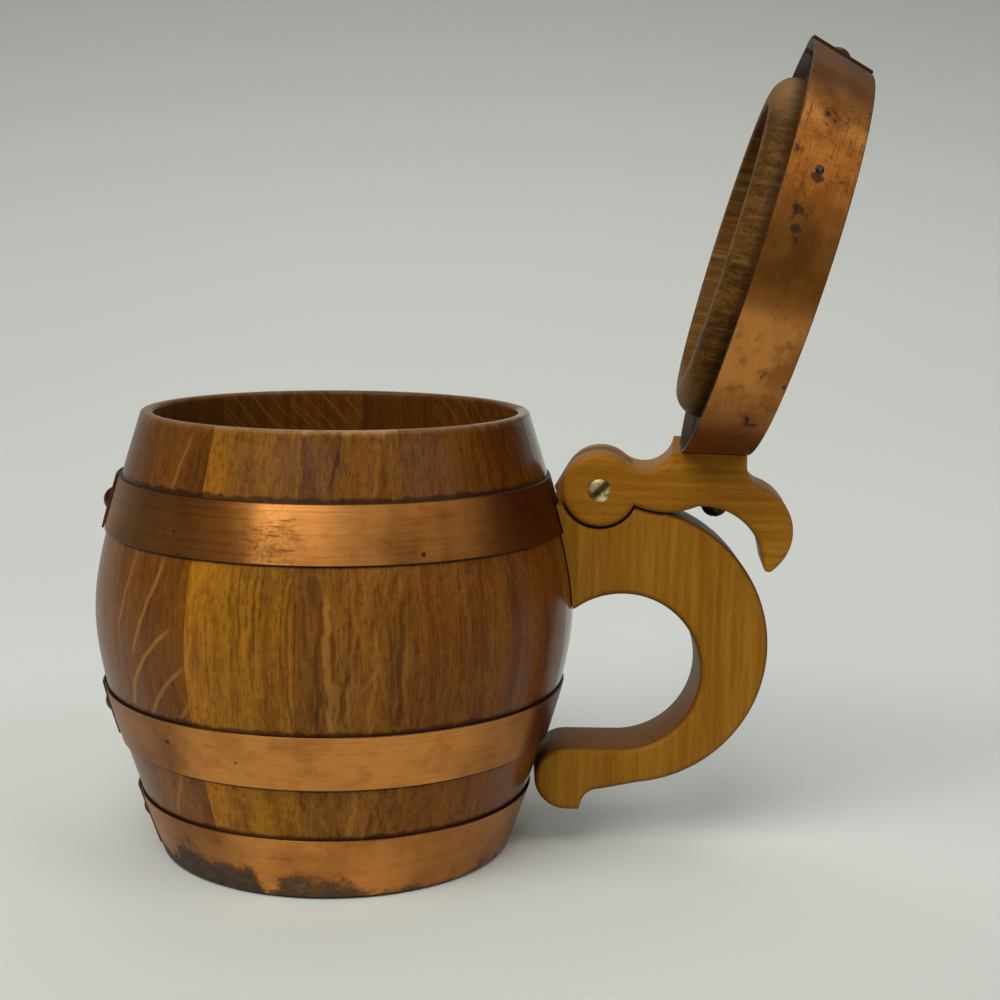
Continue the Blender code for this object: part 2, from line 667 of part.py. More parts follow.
def make_pivot_screw(hinge, lever):
    bore = pivot_profile(HOLE_GAP)
    bore += [(bore[-1][0], BOARD_THICKNESS), (0.0, BOARD_THICKNESS)]
    bore_cutter = make_object(
        "pivot_bore", turned(bore, SMALL_TURN_STEPS), parent=hinge, matrix=Y_AXIS_MATRIX
    )
    cut(lever, bore_cutter)
    profile = pivot_profile(0.0)
    shoulder = (PIVOT_HEAD_RADIUS * 0.6, HALF_BOARD + PIVOT_HEAD_DOME * 0.75)
    profile += [shoulder, (0.0, HALF_BOARD + PIVOT_HEAD_DOME)]
    screw = make_object("pivot_screw", turned(profile, SMALL_TURN_STEPS), BRASS, hinge, Y_AXIS_MATRIX)
    half = DRIVER_SLOT_WIDTH / 2
    top = HALF_BOARD + PIVOT_HEAD_DOME
    slot = [(-half, top - DRIVER_SLOT_DEPTH), (half, top - DRIVER_SLOT_DEPTH)]
    slot += [(half, 2 * top), (-half, 2 * top)]
    turn = Y_AXIS_MATRIX @ Matrix.Rotation(-math.pi / 4, 4, "Z")
    slot_bm = prism(slot, -2 * PIVOT_HEAD_RADIUS, 2 * PIVOT_HEAD_RADIUS)
    cut(screw, make_object("driver_slot", slot_bm, parent=hinge, matrix=turn))


def make_lid_screw(hinge, lever, lid_pieces):
    """Round-headed screw from under the lever, through the band, into the lid."""
    palm = palm_centre()
    across = LID_SCREW_REACH - palm[0]
    seat = palm[1] + math.sqrt(PALM_RADIUS**2 - across**2) + LID_SCREW_SEAT_DEPTH
    lid_edge = lid_to_hinge(BAND_LOW_RADIUS, -BAND_DROP)[1]
    length = lid_edge - seat + LID_SCREW_GRIP
    matrix = Matrix.Translation((LID_SCREW_REACH, 0.0, seat)) @ Matrix.Rotation(math.pi, 4, "X")
    bore = cylinder_cutter(
        "lid_screw_bore", LID_SCREW_SHANK_RADIUS + HOLE_GAP, -length - FIT_GAP, length, hinge, matrix
    )
    spot_face = cylinder_cutter(
        "lid_screw_spot_face", LID_SCREW_HEAD_RADIUS + FIT_GAP, 0.0, length, hinge, matrix
    )
    cut(lever, spot_face, bore)
    for piece in lid_pieces:
        cut(piece, bore)
    profile = domed_profile(
        LID_SCREW_HEAD_RADIUS, LID_SCREW_HEAD_HEIGHT, LID_SCREW_SHANK_RADIUS, -length, SEAT_GAP
    )
    make_object("lid_screw", turned(profile, SMALL_TURN_STEPS), DARK_STEEL, hinge, matrix)


def make_lever(hinge, lid_frame):
    bm = prism(lever_outline(), -HALF_BOARD, HALF_BOARD, BOARD_ROUNDING)
    lever = make_object("thumb_lever", bm, PALE_WOOD, hinge)
    half_slot = HALF_TONGUE + TONGUE_SIDE_GAP
    slot = cylinder_cutter(
        "fork_slot", KNUCKLE_RADIUS + SLOT_END_GAP, -half_slot, half_slot, hinge, Y_AXIS_MATRIX, TURN_STEPS
    )
    cut(lever, slot, make_seat_cutter(lid_frame))
    return lever


def lid_disc_profile():
    """Turned lid: plug ring with a hollow inside it, seat on the rim, and conical side."""
    floor = HOLLOW_DEPTH - PLUG_DEPTH
    hollow_radius = PLUG_RADIUS - PLUG_RING_WIDTH
    cove = (hollow_radius - HOLLOW_COVE, floor - HOLLOW_COVE)
    plug = (PLUG_RADIUS - PLUG_ROUNDING, PLUG_ROUNDING - PLUG_DEPTH)
    side = [(band_inside(z) - FIT_GAP, z) for z in (0.0, LID_TOP - LID_TOP_CHAMFER)]
    profile = [(0.0, floor)]
    profile += arc(cove, HOLLOW_COVE, math.pi / 2, 0.0)
    profile += [(hollow_radius, -PLUG_DEPTH)]
    profile += arc(plug, PLUG_ROUNDING, -math.pi / 2, 0.0)
    profile += [(PLUG_RADIUS, 0.0), *side]
    profile += [(side[-1][0] - LID_TOP_CHAMFER, LID_TOP), (0.0, LID_TOP)]
    return profile


def make_nail(lid_frame, pieces):
    """Nail through the band into the lid's side."""
    matrix = fastener_matrix(band_outside, NAIL_HEIGHT - BAND_DROP, NAIL_ANGLE, 0.0)
    radius = NAIL_SHANK_RADIUS + HOLE_GAP
    bore = cylinder_cutter("nail_bore", radius, -NAIL_LENGTH - FIT_GAP, NAIL_LENGTH, lid_frame, matrix)
    for piece in pieces:
        cut(piece, bore)
    profile = domed_profile(
        NAIL_HEAD_RADIUS, NAIL_HEAD_HEIGHT, NAIL_SHANK_RADIUS, -NAIL_LENGTH, SEAT_GAP
    )
    make_object("lid_band_nail", turned(profile, SMALL_TURN_STEPS // 2), DARK_STEEL, lid_frame, matrix)


def make_lid(lid_frame):
    disc = make_object("lid_disc", turned(lid_disc_profile(), TURN_STEPS), OAK, lid_frame)
    strip = lapped_strip(band_inside, band_outside, -BAND_DROP, LID_TOP, BAND_LAP, BAND_LAP_END_ANGLE)
    band = make_object("lid_band", strip, COPPER, lid_frame)
    middle = LID_TOP - BAND_HEIGHT / 2
    lap_middle = BAND_LAP_END_ANGLE - BAND_LAP / 2 / band_inside(middle)
    rivet_lap("lid_band_rivet", band, band_outside, middle, lap_middle, BAND_THICKNESS, lid_frame)
    make_nail(lid_frame, (disc, band))
    return disc, band


def build():
    clear_scene()
    dowel_cutters = make_dowel_cutters()
    for number in range(STAVE_COUNT):
        make_stave(number, dowel_cutters)
    make_head()
    make_hoop("upper_hoop", UPPER_HOOP_LOW, UPPER_HOOP_HIGH)
    make_hoop("middle_hoop", MIDDLE_HOOP_LOW, MIDDLE_HOOP_HIGH)
    make_hoop("bottom_hoop", BOTTOM_HOOP_LOW, BOTTOM_HOOP_HIGH)
    hinge = make_empty("hinge", (PIVOT_REACH, 0.0, PIVOT_HEIGHT), rotation=(0.0, 0.0, HINGE_SKEW))
    lid_x, lid_z = lid_to_hinge(0.0, 0.0)
    lid_y = PIVOT_REACH * math.sin(HINGE_SKEW)
    lid_frame = make_empty("lid_frame", (lid_x, lid_y, lid_z), hinge, (0.0, OPEN_ANGLE, 0.0))
    make_handle(hinge, dowel_cutters)
    make_dowels()
    lever = make_lever(hinge, lid_frame)
    lid_pieces = make_lid(lid_frame)
    make_lid_screw(hinge, lever, lid_pieces)
    make_pivot_screw(hinge, lever)
    bpy.context.view_layer.update()


build()
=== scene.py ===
"""Looks of a coopered beer mug with a hinged lid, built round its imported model.

Metres, +Z up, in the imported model's frame. Each piece stands for one of its nodes.
"""
from math import acos, asin, atan2, ceil, copysign, cos, degrees, hypot, pi, radians, sin, sqrt, tan, tau

import bmesh
import bpy
from mathutils import Matrix, Vector


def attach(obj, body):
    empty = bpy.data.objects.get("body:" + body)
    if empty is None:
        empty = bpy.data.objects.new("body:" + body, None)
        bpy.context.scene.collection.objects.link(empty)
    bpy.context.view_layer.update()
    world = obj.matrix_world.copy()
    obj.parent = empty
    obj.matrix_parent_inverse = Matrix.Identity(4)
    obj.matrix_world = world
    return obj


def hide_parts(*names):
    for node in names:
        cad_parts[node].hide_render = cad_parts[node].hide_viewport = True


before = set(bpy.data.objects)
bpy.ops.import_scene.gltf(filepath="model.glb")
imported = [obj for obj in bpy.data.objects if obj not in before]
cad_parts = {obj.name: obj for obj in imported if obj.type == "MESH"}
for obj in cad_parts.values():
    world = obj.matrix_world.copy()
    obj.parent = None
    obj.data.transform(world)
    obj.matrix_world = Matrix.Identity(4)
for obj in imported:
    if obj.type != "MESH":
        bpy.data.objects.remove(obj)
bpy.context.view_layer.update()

# Fits
FIT_GAP = 0.0003
SEAT_GAP = 0.00015
HOLE_GAP = 0.0002

# Barrel
BARREL_HEIGHT = 0.1333
BASE_RADIUS = 0.0525
BELLY_RADIUS = 0.0720
RIM_RADIUS = 0.0577
BELLY_HEIGHT = 0.0743
BELLY_ROUNDNESS = 0.33
STAVE_COUNT = 14
STAVE_THICKNESS = 0.0080
STAVE_GAP = 0.000004
LIP_THICKNESS = 0.0035
FIRST_SEAM_ANGLE = radians(-3.8)
SEAM_EASE = 0.00008
LIP_ROUNDING = 0.0011
FOOT_EASE = 0.0006

# Bottom head
HEAD_THICKNESS = 0.0080
HEAD_RECESS = 0.0060
CROZE_DEPTH = 0.0020
HEAD_JOINT_REACH = 0.0170
HEAD_JOINT_WIDTH = 0.0004

# Hoops
HOOPS = {
    "upper_hoop": (0.0986, 0.1146),
    "middle_hoop": (0.0356, 0.0520),
    "bottom_hoop": (0.0006, 0.0194),
}
HOOP_GAP = 0.00006
HOOP_THICKNESS = 0.0007
HOOP_LAP = 0.0130
HOOP_LAP_END_ANGLE = radians(-78.0)
LAP_CLIMB = 0.0045
STRIP_EASE = 0.00025
STRIP_WOBBLE = 0.00006
STRIP_WAVES = ((5, 1.0, 0), (11, 0.0, 90), (17, 0.0, 0))
RIVET_HEAD_RADIUS = 0.0032
RIVET_HEAD_HEIGHT = 0.0016
RIVET_SHANK_RADIUS = 0.0014

# Handle board
BOARD_THICKNESS = 0.0240
BOARD_ROUNDING = 0.0021
GRIP_REACH = 0.0160
GRIP_CENTRE_HEIGHT = 0.0635
GRIP_RADIUS = 0.0424
GRIP_END_ANGLE = radians(-84.0)
FINGER_REACH = 0.0145
FINGER_CENTRE_HEIGHT = 0.0560
FINGER_RADIUS = 0.0238
FOOT_CENTRE_HEIGHT = 0.0224
FOOT_RADIUS = 0.0098
FOOT_TIP_WIDTH = 0.0040
SPUR_RADIUS = 0.0062
DOWEL_RADIUS = 0.0030
DOWEL_DEPTH = 0.0140
DOWEL_HEIGHTS = (0.0825, 0.0930)

# Hinge
PIVOT_HEIGHT = 0.1112
KNUCKLE_RADIUS = 0.0112
KNUCKLE_STANDOFF = 0.0028
KNUCKLE_GAP = 0.0005
HALF_TONGUE = 0.0040
TONGUE_SIDE_GAP = 0.0003
TONGUE_SHOULDER_ANGLE = radians(150.0)
SHOULDER_DROP = 0.0045
SLOT_END_GAP = 0.0008
NOTCH_ANGLE = radians(-23.0)
OPEN_ANGLE = radians(105.8)
HINGE_SKEW = radians(-4.2)

# Thumb lever
DIP_RADIUS = 0.0092
DIP_RISE = 0.0028
REST_REACH = 0.0190
REST_LENGTH = 0.0186
REST_SLACK = 1.3
HOOK_DROP = 0.0245
HOOK_RADIUS = 0.0142
HOOK_TIP_RADIUS = 0.0016
HOOK_TIP_ANGLE = radians(-54.0)
HOOK_NECK_RADIUS = 0.0068
PALM_RADIUS = 0.0180
PALM_OFFSET = 0.0019
PALM_END_ANGLE = radians(22.0)

# Screws
PIVOT_HEAD_RADIUS = 0.0034
PIVOT_HEAD_DOME = 0.0005
PIVOT_SHANK_RADIUS = 0.00175
PIVOT_END_COVER = 0.0040
DRIVER_SLOT_WIDTH = 0.0009
DRIVER_SLOT_DEPTH = 0.0009
PIVOT_SLOT_TURN = -pi / 4
LID_SCREW_REACH = 0.0345
LID_SCREW_HEAD_RADIUS = 0.0042
LID_SCREW_HEAD_HEIGHT = 0.0044
LID_SCREW_SHANK_RADIUS = 0.00175
LID_SCREW_SEAT_DEPTH = 0.0004
LID_SCREW_GRIP = 0.0120
LID_SCREW_SLOT_TURN = radians(25.0)

# Lid
LID_OVERHANG = 0.0039
BAND_HEIGHT = 0.0190
BAND_TAPER = radians(14.5)
BAND_DROP = 0.0030
BAND_THICKNESS = 0.0009
BAND_LAP = 0.0140
BAND_LAP_END_ANGLE = radians(-84.0)
PLUG_GAP = 0.0038
PLUG_DEPTH = 0.0095
PLUG_ROUNDING = 0.0070
PLUG_RING_WIDTH = 0.0095
PLUG_INNER_EASE = 0.0008
HOLLOW_DEPTH = 0.0115
HOLLOW_COVE = 0.0030
LID_TOP_CHAMFER = 0.0010
NAIL_ANGLE = radians(-24.2)
NAIL_HEIGHT = 0.0086
NAIL_HEAD_RADIUS = 0.0013
NAIL_HEAD_HEIGHT = 0.0005
NAIL_SHANK_RADIUS = 0.0007
NAIL_LENGTH = 0.0120

# Mesh fineness
ARC_TOLERANCE = 0.000006
OUTLINE_SPACING = 0.0006
CORNER_REACH = 0.0009
SHARP_TURN = radians(25.0)
EDGE_STEPS = 5
EDGE_TAPER = 0.4
EDGE_FILL = 0.8
CORNER_SHARES = (0.2, 0.4, 0.6, 0.8)
STAVE_STEPS = 10
STAVE_LEVELS = 44
STRIP_STEPS = 240
STRIP_LEVELS = 6
SEAT_LEVELS = 20
SEAT_CLEAR = 0.0004
TURN_STEPS = 192
SMALL_TURN_STEPS = 48
SMOOTH_ANGLE = radians(32.0)

# Camera and light
CAMERA_LENS = 61.2
CAMERA_PLACE = (0.0493, -0.5083, 0.1877)
CAMERA_DROP = radians(9.12)
CAMERA_ROLL = radians(0.77)
WORLD_COLOUR = (0.95, 0.98, 1.0, 1.0)
WORLD_STRENGTH = 0.21
SWEEP_REACH = 3.0
SWEEP_START = 0.3
SWEEP_RADIUS = 1.6
SWEEP_STEPS = 48
SWEEP_DROP = 0.0001
MUG_MIDDLE = (0.04, 0.0, 0.10)
LIGHTS = (
    ("key", (-0.45, -0.95, 1.25), (1.3, 1.1), 22.5, (1.0, 0.985, 0.96)),
    ("fill", (1.1, -0.7, 1.1), (0.9, 0.9), 7.0, (0.97, 0.99, 1.0)),
    ("top", (0.1, 0.7, 1.5), (1.4, 1.0), 6.0, (1.0, 1.0, 1.0)),
)

# Sizes that follow from the ones above
MOUTH_RADIUS = RIM_RADIUS - LIP_THICKNESS
HALF_BOARD = BOARD_THICKNESS / 2
POCKET_RADIUS = KNUCKLE_RADIUS + KNUCKLE_GAP
BAND_LOW_RADIUS = RIM_RADIUS + LID_OVERHANG
LID_SEAT_HEIGHT = BARREL_HEIGHT + FIT_GAP
LID_TOP = BAND_HEIGHT - BAND_DROP
GRIP_CENTRE = (BELLY_RADIUS + GRIP_REACH, GRIP_CENTRE_HEIGHT)
FINGER_CENTRE = (BELLY_RADIUS + FINGER_REACH, FINGER_CENTRE_HEIGHT)
PLUG_RADIUS = MOUTH_RADIUS - PLUG_GAP
TO_FRONT = Matrix.Rotation(pi / 2, 4, "X")
TO_HANDLE = Matrix.Rotation(pi / 2, 4, "Y")


def barrel_radius(height):
    """Outer radius of the staves: straight tapers with a rounded belly between them."""
    if height > BELLY_HEIGHT:
        drop = BELLY_RADIUS - RIM_RADIUS
        share = (height - BELLY_HEIGHT) / (BARREL_HEIGHT - BELLY_HEIGHT)
    else:
        drop = BELLY_RADIUS - BASE_RADIUS
        share = (BELLY_HEIGHT - height) / BELLY_HEIGHT
    full = hypot(1.0, BELLY_ROUNDNESS) - BELLY_ROUNDNESS
    return BELLY_RADIUS - drop * (hypot(share, BELLY_ROUNDNESS) - BELLY_ROUNDNESS) / full


def bore_radius(height):
    parallel = barrel_radius(height) - STAVE_THICKNESS
    if height > BELLY_HEIGHT:
        return max(parallel, MOUTH_RADIUS)
    return parallel


def hoop_inside(height):
    return barrel_radius(height) + HOOP_GAP


def hoop_outside(height):
    return hoop_inside(height) + HOOP_THICKNESS


def band_outside(height):
    return BAND_LOW_RADIUS - (height + BAND_DROP) * tan(BAND_TAPER)


def band_inside(height):
    return band_outside(height) - BAND_THICKNESS


HINGE_STANDOFF = FIT_GAP + HOOP_THICKNESS + KNUCKLE_STANDOFF
PIVOT_REACH = barrel_radius(PIVOT_HEIGHT) + HINGE_STANDOFF + KNUCKLE_RADIUS


def lid_to_hinge(x, height):
    """Point of the lid's middle plane in the hinge's frame, with the lid open."""
    across = x - PIVOT_REACH * cos(HINGE_SKEW)
    above = LID_SEAT_HEIGHT + height - PIVOT_HEIGHT
    turned_x = across * cos(OPEN_ANGLE) + above * sin(OPEN_ANGLE)
    turned_z = above * cos(OPEN_ANGLE) - across * sin(OPEN_ANGLE)
    return turned_x, turned_z


HINGE = Matrix.Translation((PIVOT_REACH, 0.0, PIVOT_HEIGHT)) @ Matrix.Rotation(HINGE_SKEW, 4, "Z")
LID_SHIFT = PIVOT_REACH * sin(HINGE_SKEW)
LID_MIDDLE = lid_to_hinge(0.0, 0.0)
LID = (
    HINGE
    @ Matrix.Translation((LID_MIDDLE[0], LID_SHIFT, LID_MIDDLE[1]))
    @ Matrix.Rotation(OPEN_ANGLE, 4, "Y")
)


def direction(angle):
    """Unit vector at an angle from the front, -Y, growing towards +X."""
    return sin(angle), -cos(angle)


def levels(low, high, count):
    return [low + (high - low) * step / count for step in range(count + 1)]


def smooth(share):
    share = min(1.0, max(0.0, share))
    return share * share * (3 - 2 * share)


def polar(centre, radius, angle):
    return centre[0] + radius * cos(angle), centre[1] + radius * sin(angle)


def arc(centre, radius, start, end):
    step = 2 * acos(1 - ARC_TOLERANCE / radius)
    count = max(2, ceil(abs(end - start) / step))
    return [polar(centre, radius, angle) for angle in levels(start, end, count)]


def circle_through(first, middle, last):
    """Centre and radius of the circle through three points."""
    ax, az = middle[0] - first[0], middle[1] - first[1]
    bx, bz = last[0] - first[0], last[1] - first[1]
    twice = 2 * (ax * bz - az * bx)
    a_square = ax * ax + az * az
    b_square = bx * bx + bz * bz
    x = (bz * a_square - az * b_square) / twice
    z = (ax * b_square - bx * a_square) / twice
    return (first[0] + x, first[1] + z), hypot(x, z)


def angle_to(centre, point):
    return atan2(point[1] - centre[1], point[0] - centre[0])


def loft(rings):
    """Skin a row of equal closed rings, with an end face on the first and the last."""
    bm = bmesh.new()
    rows = [[bm.verts.new(point) for point in ring] for ring in rings]
    for row, following in zip(rows, rows[1:]):
        for index, vertex in enumerate(row):
            beside = (index + 1) % len(row)
            bm.faces.new((vertex, following[index], following[beside], row[beside]))
    bm.faces.new(rows[0])
    bm.faces.new(list(reversed(rows[-1])))
    return bm


def turned(profile, steps):
    """Solid of revolution about Z from a profile of (radius, height) that ends on the axis."""
    bm = bmesh.new()
    rows = []
    for radius, height in profile:
        if radius == 0.0:
            rows.append([bm.verts.new((0.0, 0.0, height))])
            continue
        angles = [tau * step / steps for step in range(steps)]
        points = [(radius * cos(angle), radius * sin(angle), height) for angle in angles]
        rows.append([bm.verts.new(point) for point in points])
    for row, following in zip(rows, rows[1:]):
        for index in range(steps):
            loop = (row, index), (row, index + 1), (following, index + 1), (following, index)
            corners = [ring[place % len(ring)] for ring, place in loop]
            bm.faces.new(list(dict.fromkeys(corners)))
    return bm


def around(corners):
    """Each corner of a closed outline with the ones before and after it."""
    return list(zip(corners[-1:] + corners[:-1], corners, corners[1:] + corners[:1]))


def outline_side(corners):
    area = sum(point.x * following.y - following.x * point.y for _, point, following in around(corners))
    return copysign(1.0, area)


def inset(corners, distances):
    """Outline with each corner moved inwards along its bisector."""
    side = outline_side(corners)
    moved = []
    for (before, point, following), distance in zip(around(corners), distances):
        first = (point - before).normalized()
        second = (following - point).normalized()
        bisector = Vector((-first.y - second.y, first.x + second.x))
        moved.append(point + bisector * (side * distance / (1 + first.dot(second))))
    return moved


def edge_roundings(corners):
    """Rounding for each corner of a board's outline, smaller where the outline turns tightly."""
    side = outline_side(corners)
    limits = []
    for before, point, following in around(corners):
        along = (following - before).normalized()
        inward = Vector((-along.y, along.x)) * side
        limit = BOARD_ROUNDING
        for other in corners:
            apart = other - point
            depth = apart.dot(inward)
            if depth > 0.0:
                limit = min(limit, EDGE_FILL * apart.length_squared / (2 * depth))
        limits.append(limit)
    forth = [(index, index - 1) for index in range(len(corners))] * 2
    back = [(beside, index) for index, beside in reversed(forth)]
    for index, beside in forth + back:
        step = (corners[index] - corners[beside]).length
        limits[index] = min(limits[index], limits[beside] + EDGE_TAPER * step)
    return limits


def resample(outline):
    """Outline with its long edges split."""
    points = []
    for start, end in zip(outline, outline[1:] + outline[:1]):
        start, end = Vector(start), Vector(end)
        count = max(1, ceil((end - start).length / OUTLINE_SPACING))
        points += [start.lerp(end, step / count) for step in range(count)]
    return points


def soften(outline):
    """Outline with its sharp outer corners swept round."""
    corners = resample(outline)
    side = outline_side(corners)
    sharp = []
    for before, point, following in around(corners):
        first, second = point - before, following - point
        turn = atan2(first.x * second.y - first.y * second.x, first.dot(second))
        if turn * side > SHARP_TURN:
            sharp.append(point)

    def stays(point):
        return point in sharp or all((corner - point).length > CORNER_REACH for corner in sharp)

    swept = []
    for before, point, following in around([point for point in corners if stays(point)]):
        if point not in sharp:
            swept.append(point)
            continue
        for share in CORNER_SHARES:
            first = before.lerp(point, share)
            second = point.lerp(following, share)
            swept.append(first.lerp(second, share))
    return swept


def board(outline, near, far):
    """Sawn board: an outline in X and Z, from one Y to another, with its edges rounded."""
    corners = soften(outline)
    limits = edge_roundings(corners)
    rings = []
    for face, into, angles in (
        (near, 1.0, levels(pi / 2, 0.0, EDGE_STEPS)),
        (far, -1.0, levels(0.0, pi / 2, EDGE_STEPS)),
    ):
        for angle in angles:
            moved = inset(corners, [limit * (1 - cos(angle)) for limit in limits])
            depth = into * (1 - sin(angle))
            rings.append([(x, face + limit * depth, z) for (x, z), limit in zip(moved, limits)])
    return loft(rings)


def slab(outline, near, far):
    return loft([[(x, y, z) for x, z in outline] for y in (near, far)])


def bar(half, low, high, reach):
    """Square bar along Y, as a cutter."""
    return slab([(-half, low), (half, low), (half, high), (-half, high)], -reach, reach)


def tube(radius, low, high, steps=SMALL_TURN_STEPS):
    return turned([(0.0, low), (radius, low), (radius, high), (0.0, high)], steps)


def add_object(name, data, matrix):
    item = bpy.data.objects.new(name, data)
    item.matrix_world = matrix
    bpy.context.scene.collection.objects.link(item)
    return item


def new_object(name, bm, matrix):
    bmesh.ops.recalc_face_normals(bm, faces=bm.faces)
    mesh = bpy.data.meshes.new(name)
    bm.to_mesh(mesh)
    bm.free()
    return add_object(name, mesh, matrix)


def cut(item, cutters):
    """Take the cutters, as (mesh, matrix) pairs, out of an object for good."""
    tools = []
    for number, (bm, matrix) in enumerate(cutters):
        tool = new_object(f"{item.name}_tool_{number}", bm, matrix)
        tools.append(tool)
        modifier = item.modifiers.new(tool.name, "BOOLEAN")
        modifier.operation = "DIFFERENCE"
        modifier.object = tool
    bpy.context.view_layer.update()
    shaped = item.evaluated_get(bpy.context.evaluated_depsgraph_get())
    mesh = bpy.data.meshes.new_from_object(shaped)
    item.modifiers.clear()
    item.data = mesh
    for tool in tools:
        bpy.data.objects.remove(tool)


def piece(name, bm, node, body, material, matrix=Matrix.Identity(4), cutters=()):
    """Finished piece of the mug that stands for a node and rides on its body."""
    item = new_object(name, bm, matrix)
    if cutters:
        cut(item, cutters)
    item.data.materials.clear()
    item.data.materials.append(material)
    item.data.shade_smooth()
    item.data.set_sharp_from_angle(angle=SMOOTH_ANGLE)
    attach(item, body)
    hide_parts(node)
    return item


def stave_section():
    """Section of a stave in radius and height, with a rounded lip and the groove for the head."""
    groove_low = HEAD_RECESS - FIT_GAP
    groove_high = HEAD_RECESS + HEAD_THICKNESS + FIT_GAP
    groove_radius = bore_radius(groove_high) + CROZE_DEPTH
    lip_height = BARREL_HEIGHT - LIP_ROUNDING
    outer_lip = (barrel_radius(lip_height) - LIP_ROUNDING, lip_height)
    inner_lip = (bore_radius(lip_height) + LIP_ROUNDING, lip_height)
    section = [(barrel_radius(z), z) for z in levels(FOOT_EASE, lip_height, STAVE_LEVELS)]
    section += arc(outer_lip, LIP_ROUNDING, 0.0, pi / 2)[1:]
    section += arc(inner_lip, LIP_ROUNDING, pi / 2, pi)
    section += [(bore_radius(z), z) for z in levels(lip_height, groove_high, STAVE_LEVELS)][1:]
    section += [
        (groove_radius, groove_high),
        (groove_radius, groove_low),
        (bore_radius(groove_low), groove_low),
        (bore_radius(0.0), 0.0),
        (barrel_radius(0.0) - FOOT_EASE, 0.0),
    ]
    return section


def dowel_bores():
    """Cutters for the handle's dowels, along X from inside the barrel wall."""
    bores = []
    for height in DOWEL_HEIGHTS:
        low = barrel_radius(height) - STAVE_THICKNESS / 2 - FIT_GAP
        high = barrel_radius(height) + DOWEL_DEPTH + FIT_GAP
        place = Matrix.Translation((0.0, 0.0, height)) @ TO_HANDLE
        bores.append((tube(DOWEL_RADIUS + HOLE_GAP, low, high), place))
    return bores


def make_stave(number, material):
    """One stave between two seams, its long edges eased."""
    pitch = tau / STAVE_COUNT
    start = FIRST_SEAM_ANGLE + number * pitch
    section = stave_section()
    eased = inset([Vector(point) for point in section], [SEAM_EASE] * len(section))
    ease = SEAM_EASE / BELLY_RADIUS / pitch
    rings = []
    for share in [0.0, *levels(ease, 1.0 - ease, STAVE_STEPS), 1.0]:
        ring = []
        for radius, height in eased if share in (0.0, 1.0) else section:
            set_back = asin(STAVE_GAP / 2 / radius)
            x, y = direction(start + set_back + share * (pitch - 2 * set_back))
            ring.append((radius * x, radius * y, height))
        rings.append(ring)
    name = f"stave_{number + 1:02d}"
    faces_handle = start < pi / 2 < start + pitch
    bores = dowel_bores() if faces_handle else ()
    piece(f"{name}_oak", loft(rings), name, "mug", material, cutters=bores)


def make_head(material):
    """Bottom head of three boards, its edge thinned to enter the groove."""
    low, high = HEAD_RECESS, HEAD_RECESS + HEAD_THICKNESS
    radius = bore_radius(high + FIT_GAP) + CROZE_DEPTH - FIT_GAP
    profile = [(0.0, low), (bore_radius(low) - 2 * FIT_GAP, low), (radius, low + CROZE_DEPTH / 2)]
    profile += [(radius, high), (0.0, high)]
    half = HEAD_JOINT_WIDTH / 2
    joints = []
    for side in (-1, 1):
        for level in (low, high):
            matrix = Matrix.Translation((side * HEAD_JOINT_REACH, 0.0, 0.0))
            joints.append((bar(half, level - half, level + half, radius), matrix))
    bm = turned(profile, TURN_STEPS)
    piece("bottom_head_oak", bm, "bottom_head", "mug", material, cutters=joints)


def lapped_strip(inside, outside, low, high, lap, lap_end):
    """Metal strip bent round a turned form, its last stretch climbing on to its first."""
    lap_angle = lap / inside((low + high) / 2)
    climb = LAP_CLIMB / inside((low + high) / 2)
    thickness = outside(low) - inside(low)
    rings = []
    for turn in levels(0.0, tau + lap_angle, STRIP_STEPS):
        lift = (thickness + SEAT_GAP) * smooth((turn - tau + climb) / climb)
        ripple = sum(sin(count * turn + phase + shift * low) for count, phase, shift in STRIP_WAVES)
        lift += STRIP_WOBBLE * (1.0 + ripple / len(STRIP_WAVES))
        x, y = direction(lap_end - lap_angle + turn)
        section = [(inside(z) + lift, z) for z in levels(low, high, STRIP_LEVELS)]
        section.append((outside(high) + lift - STRIP_EASE, high))
        for z in levels(high - STRIP_EASE, low + STRIP_EASE, STRIP_LEVELS):
            section.append((outside(z) + lift, z))
        section.append((outside(low) + lift - STRIP_EASE, low))
        rings.append([(radius * x, radius * y, z) for radius, z in section])
    return loft(rings)


def fastener_matrix(outside, height, angle, lift):
    """Frame on a turned form's surface, with Z along the outward normal."""
    step = SEAT_GAP
    slope = (outside(height + step) - outside(height - step)) / (2 * step)
    x, y = direction(angle)
    radius = outside(height) + lift
    normal = Vector((x, y, -slope))
    turn = normal.to_track_quat("Z", "Y").to_matrix().to_4x4()
    return Matrix.Translation((radius * x, radius * y, height)) @ turn


def dome(radius, height, base):
    """Profile of a round head, from its edge up to the axis."""
    edge, top = (radius, base), (0.0, base + height)
    centre, reach = circle_through(edge, top, (-radius, base))
    return arc(centre, reach, angle_to(centre, edge), pi / 2)[:-1] + [top]


def domed_fastener(head_radius, head_height, shank_radius, length):
    """Round-headed fastener along Z, its head above its seat and its shank below."""
    profile = [(0.0, -length), (shank_radius, -length), (shank_radius, SEAT_GAP)]
    return turned(profile + dome(head_radius, head_height, SEAT_GAP), SMALL_TURN_STEPS)


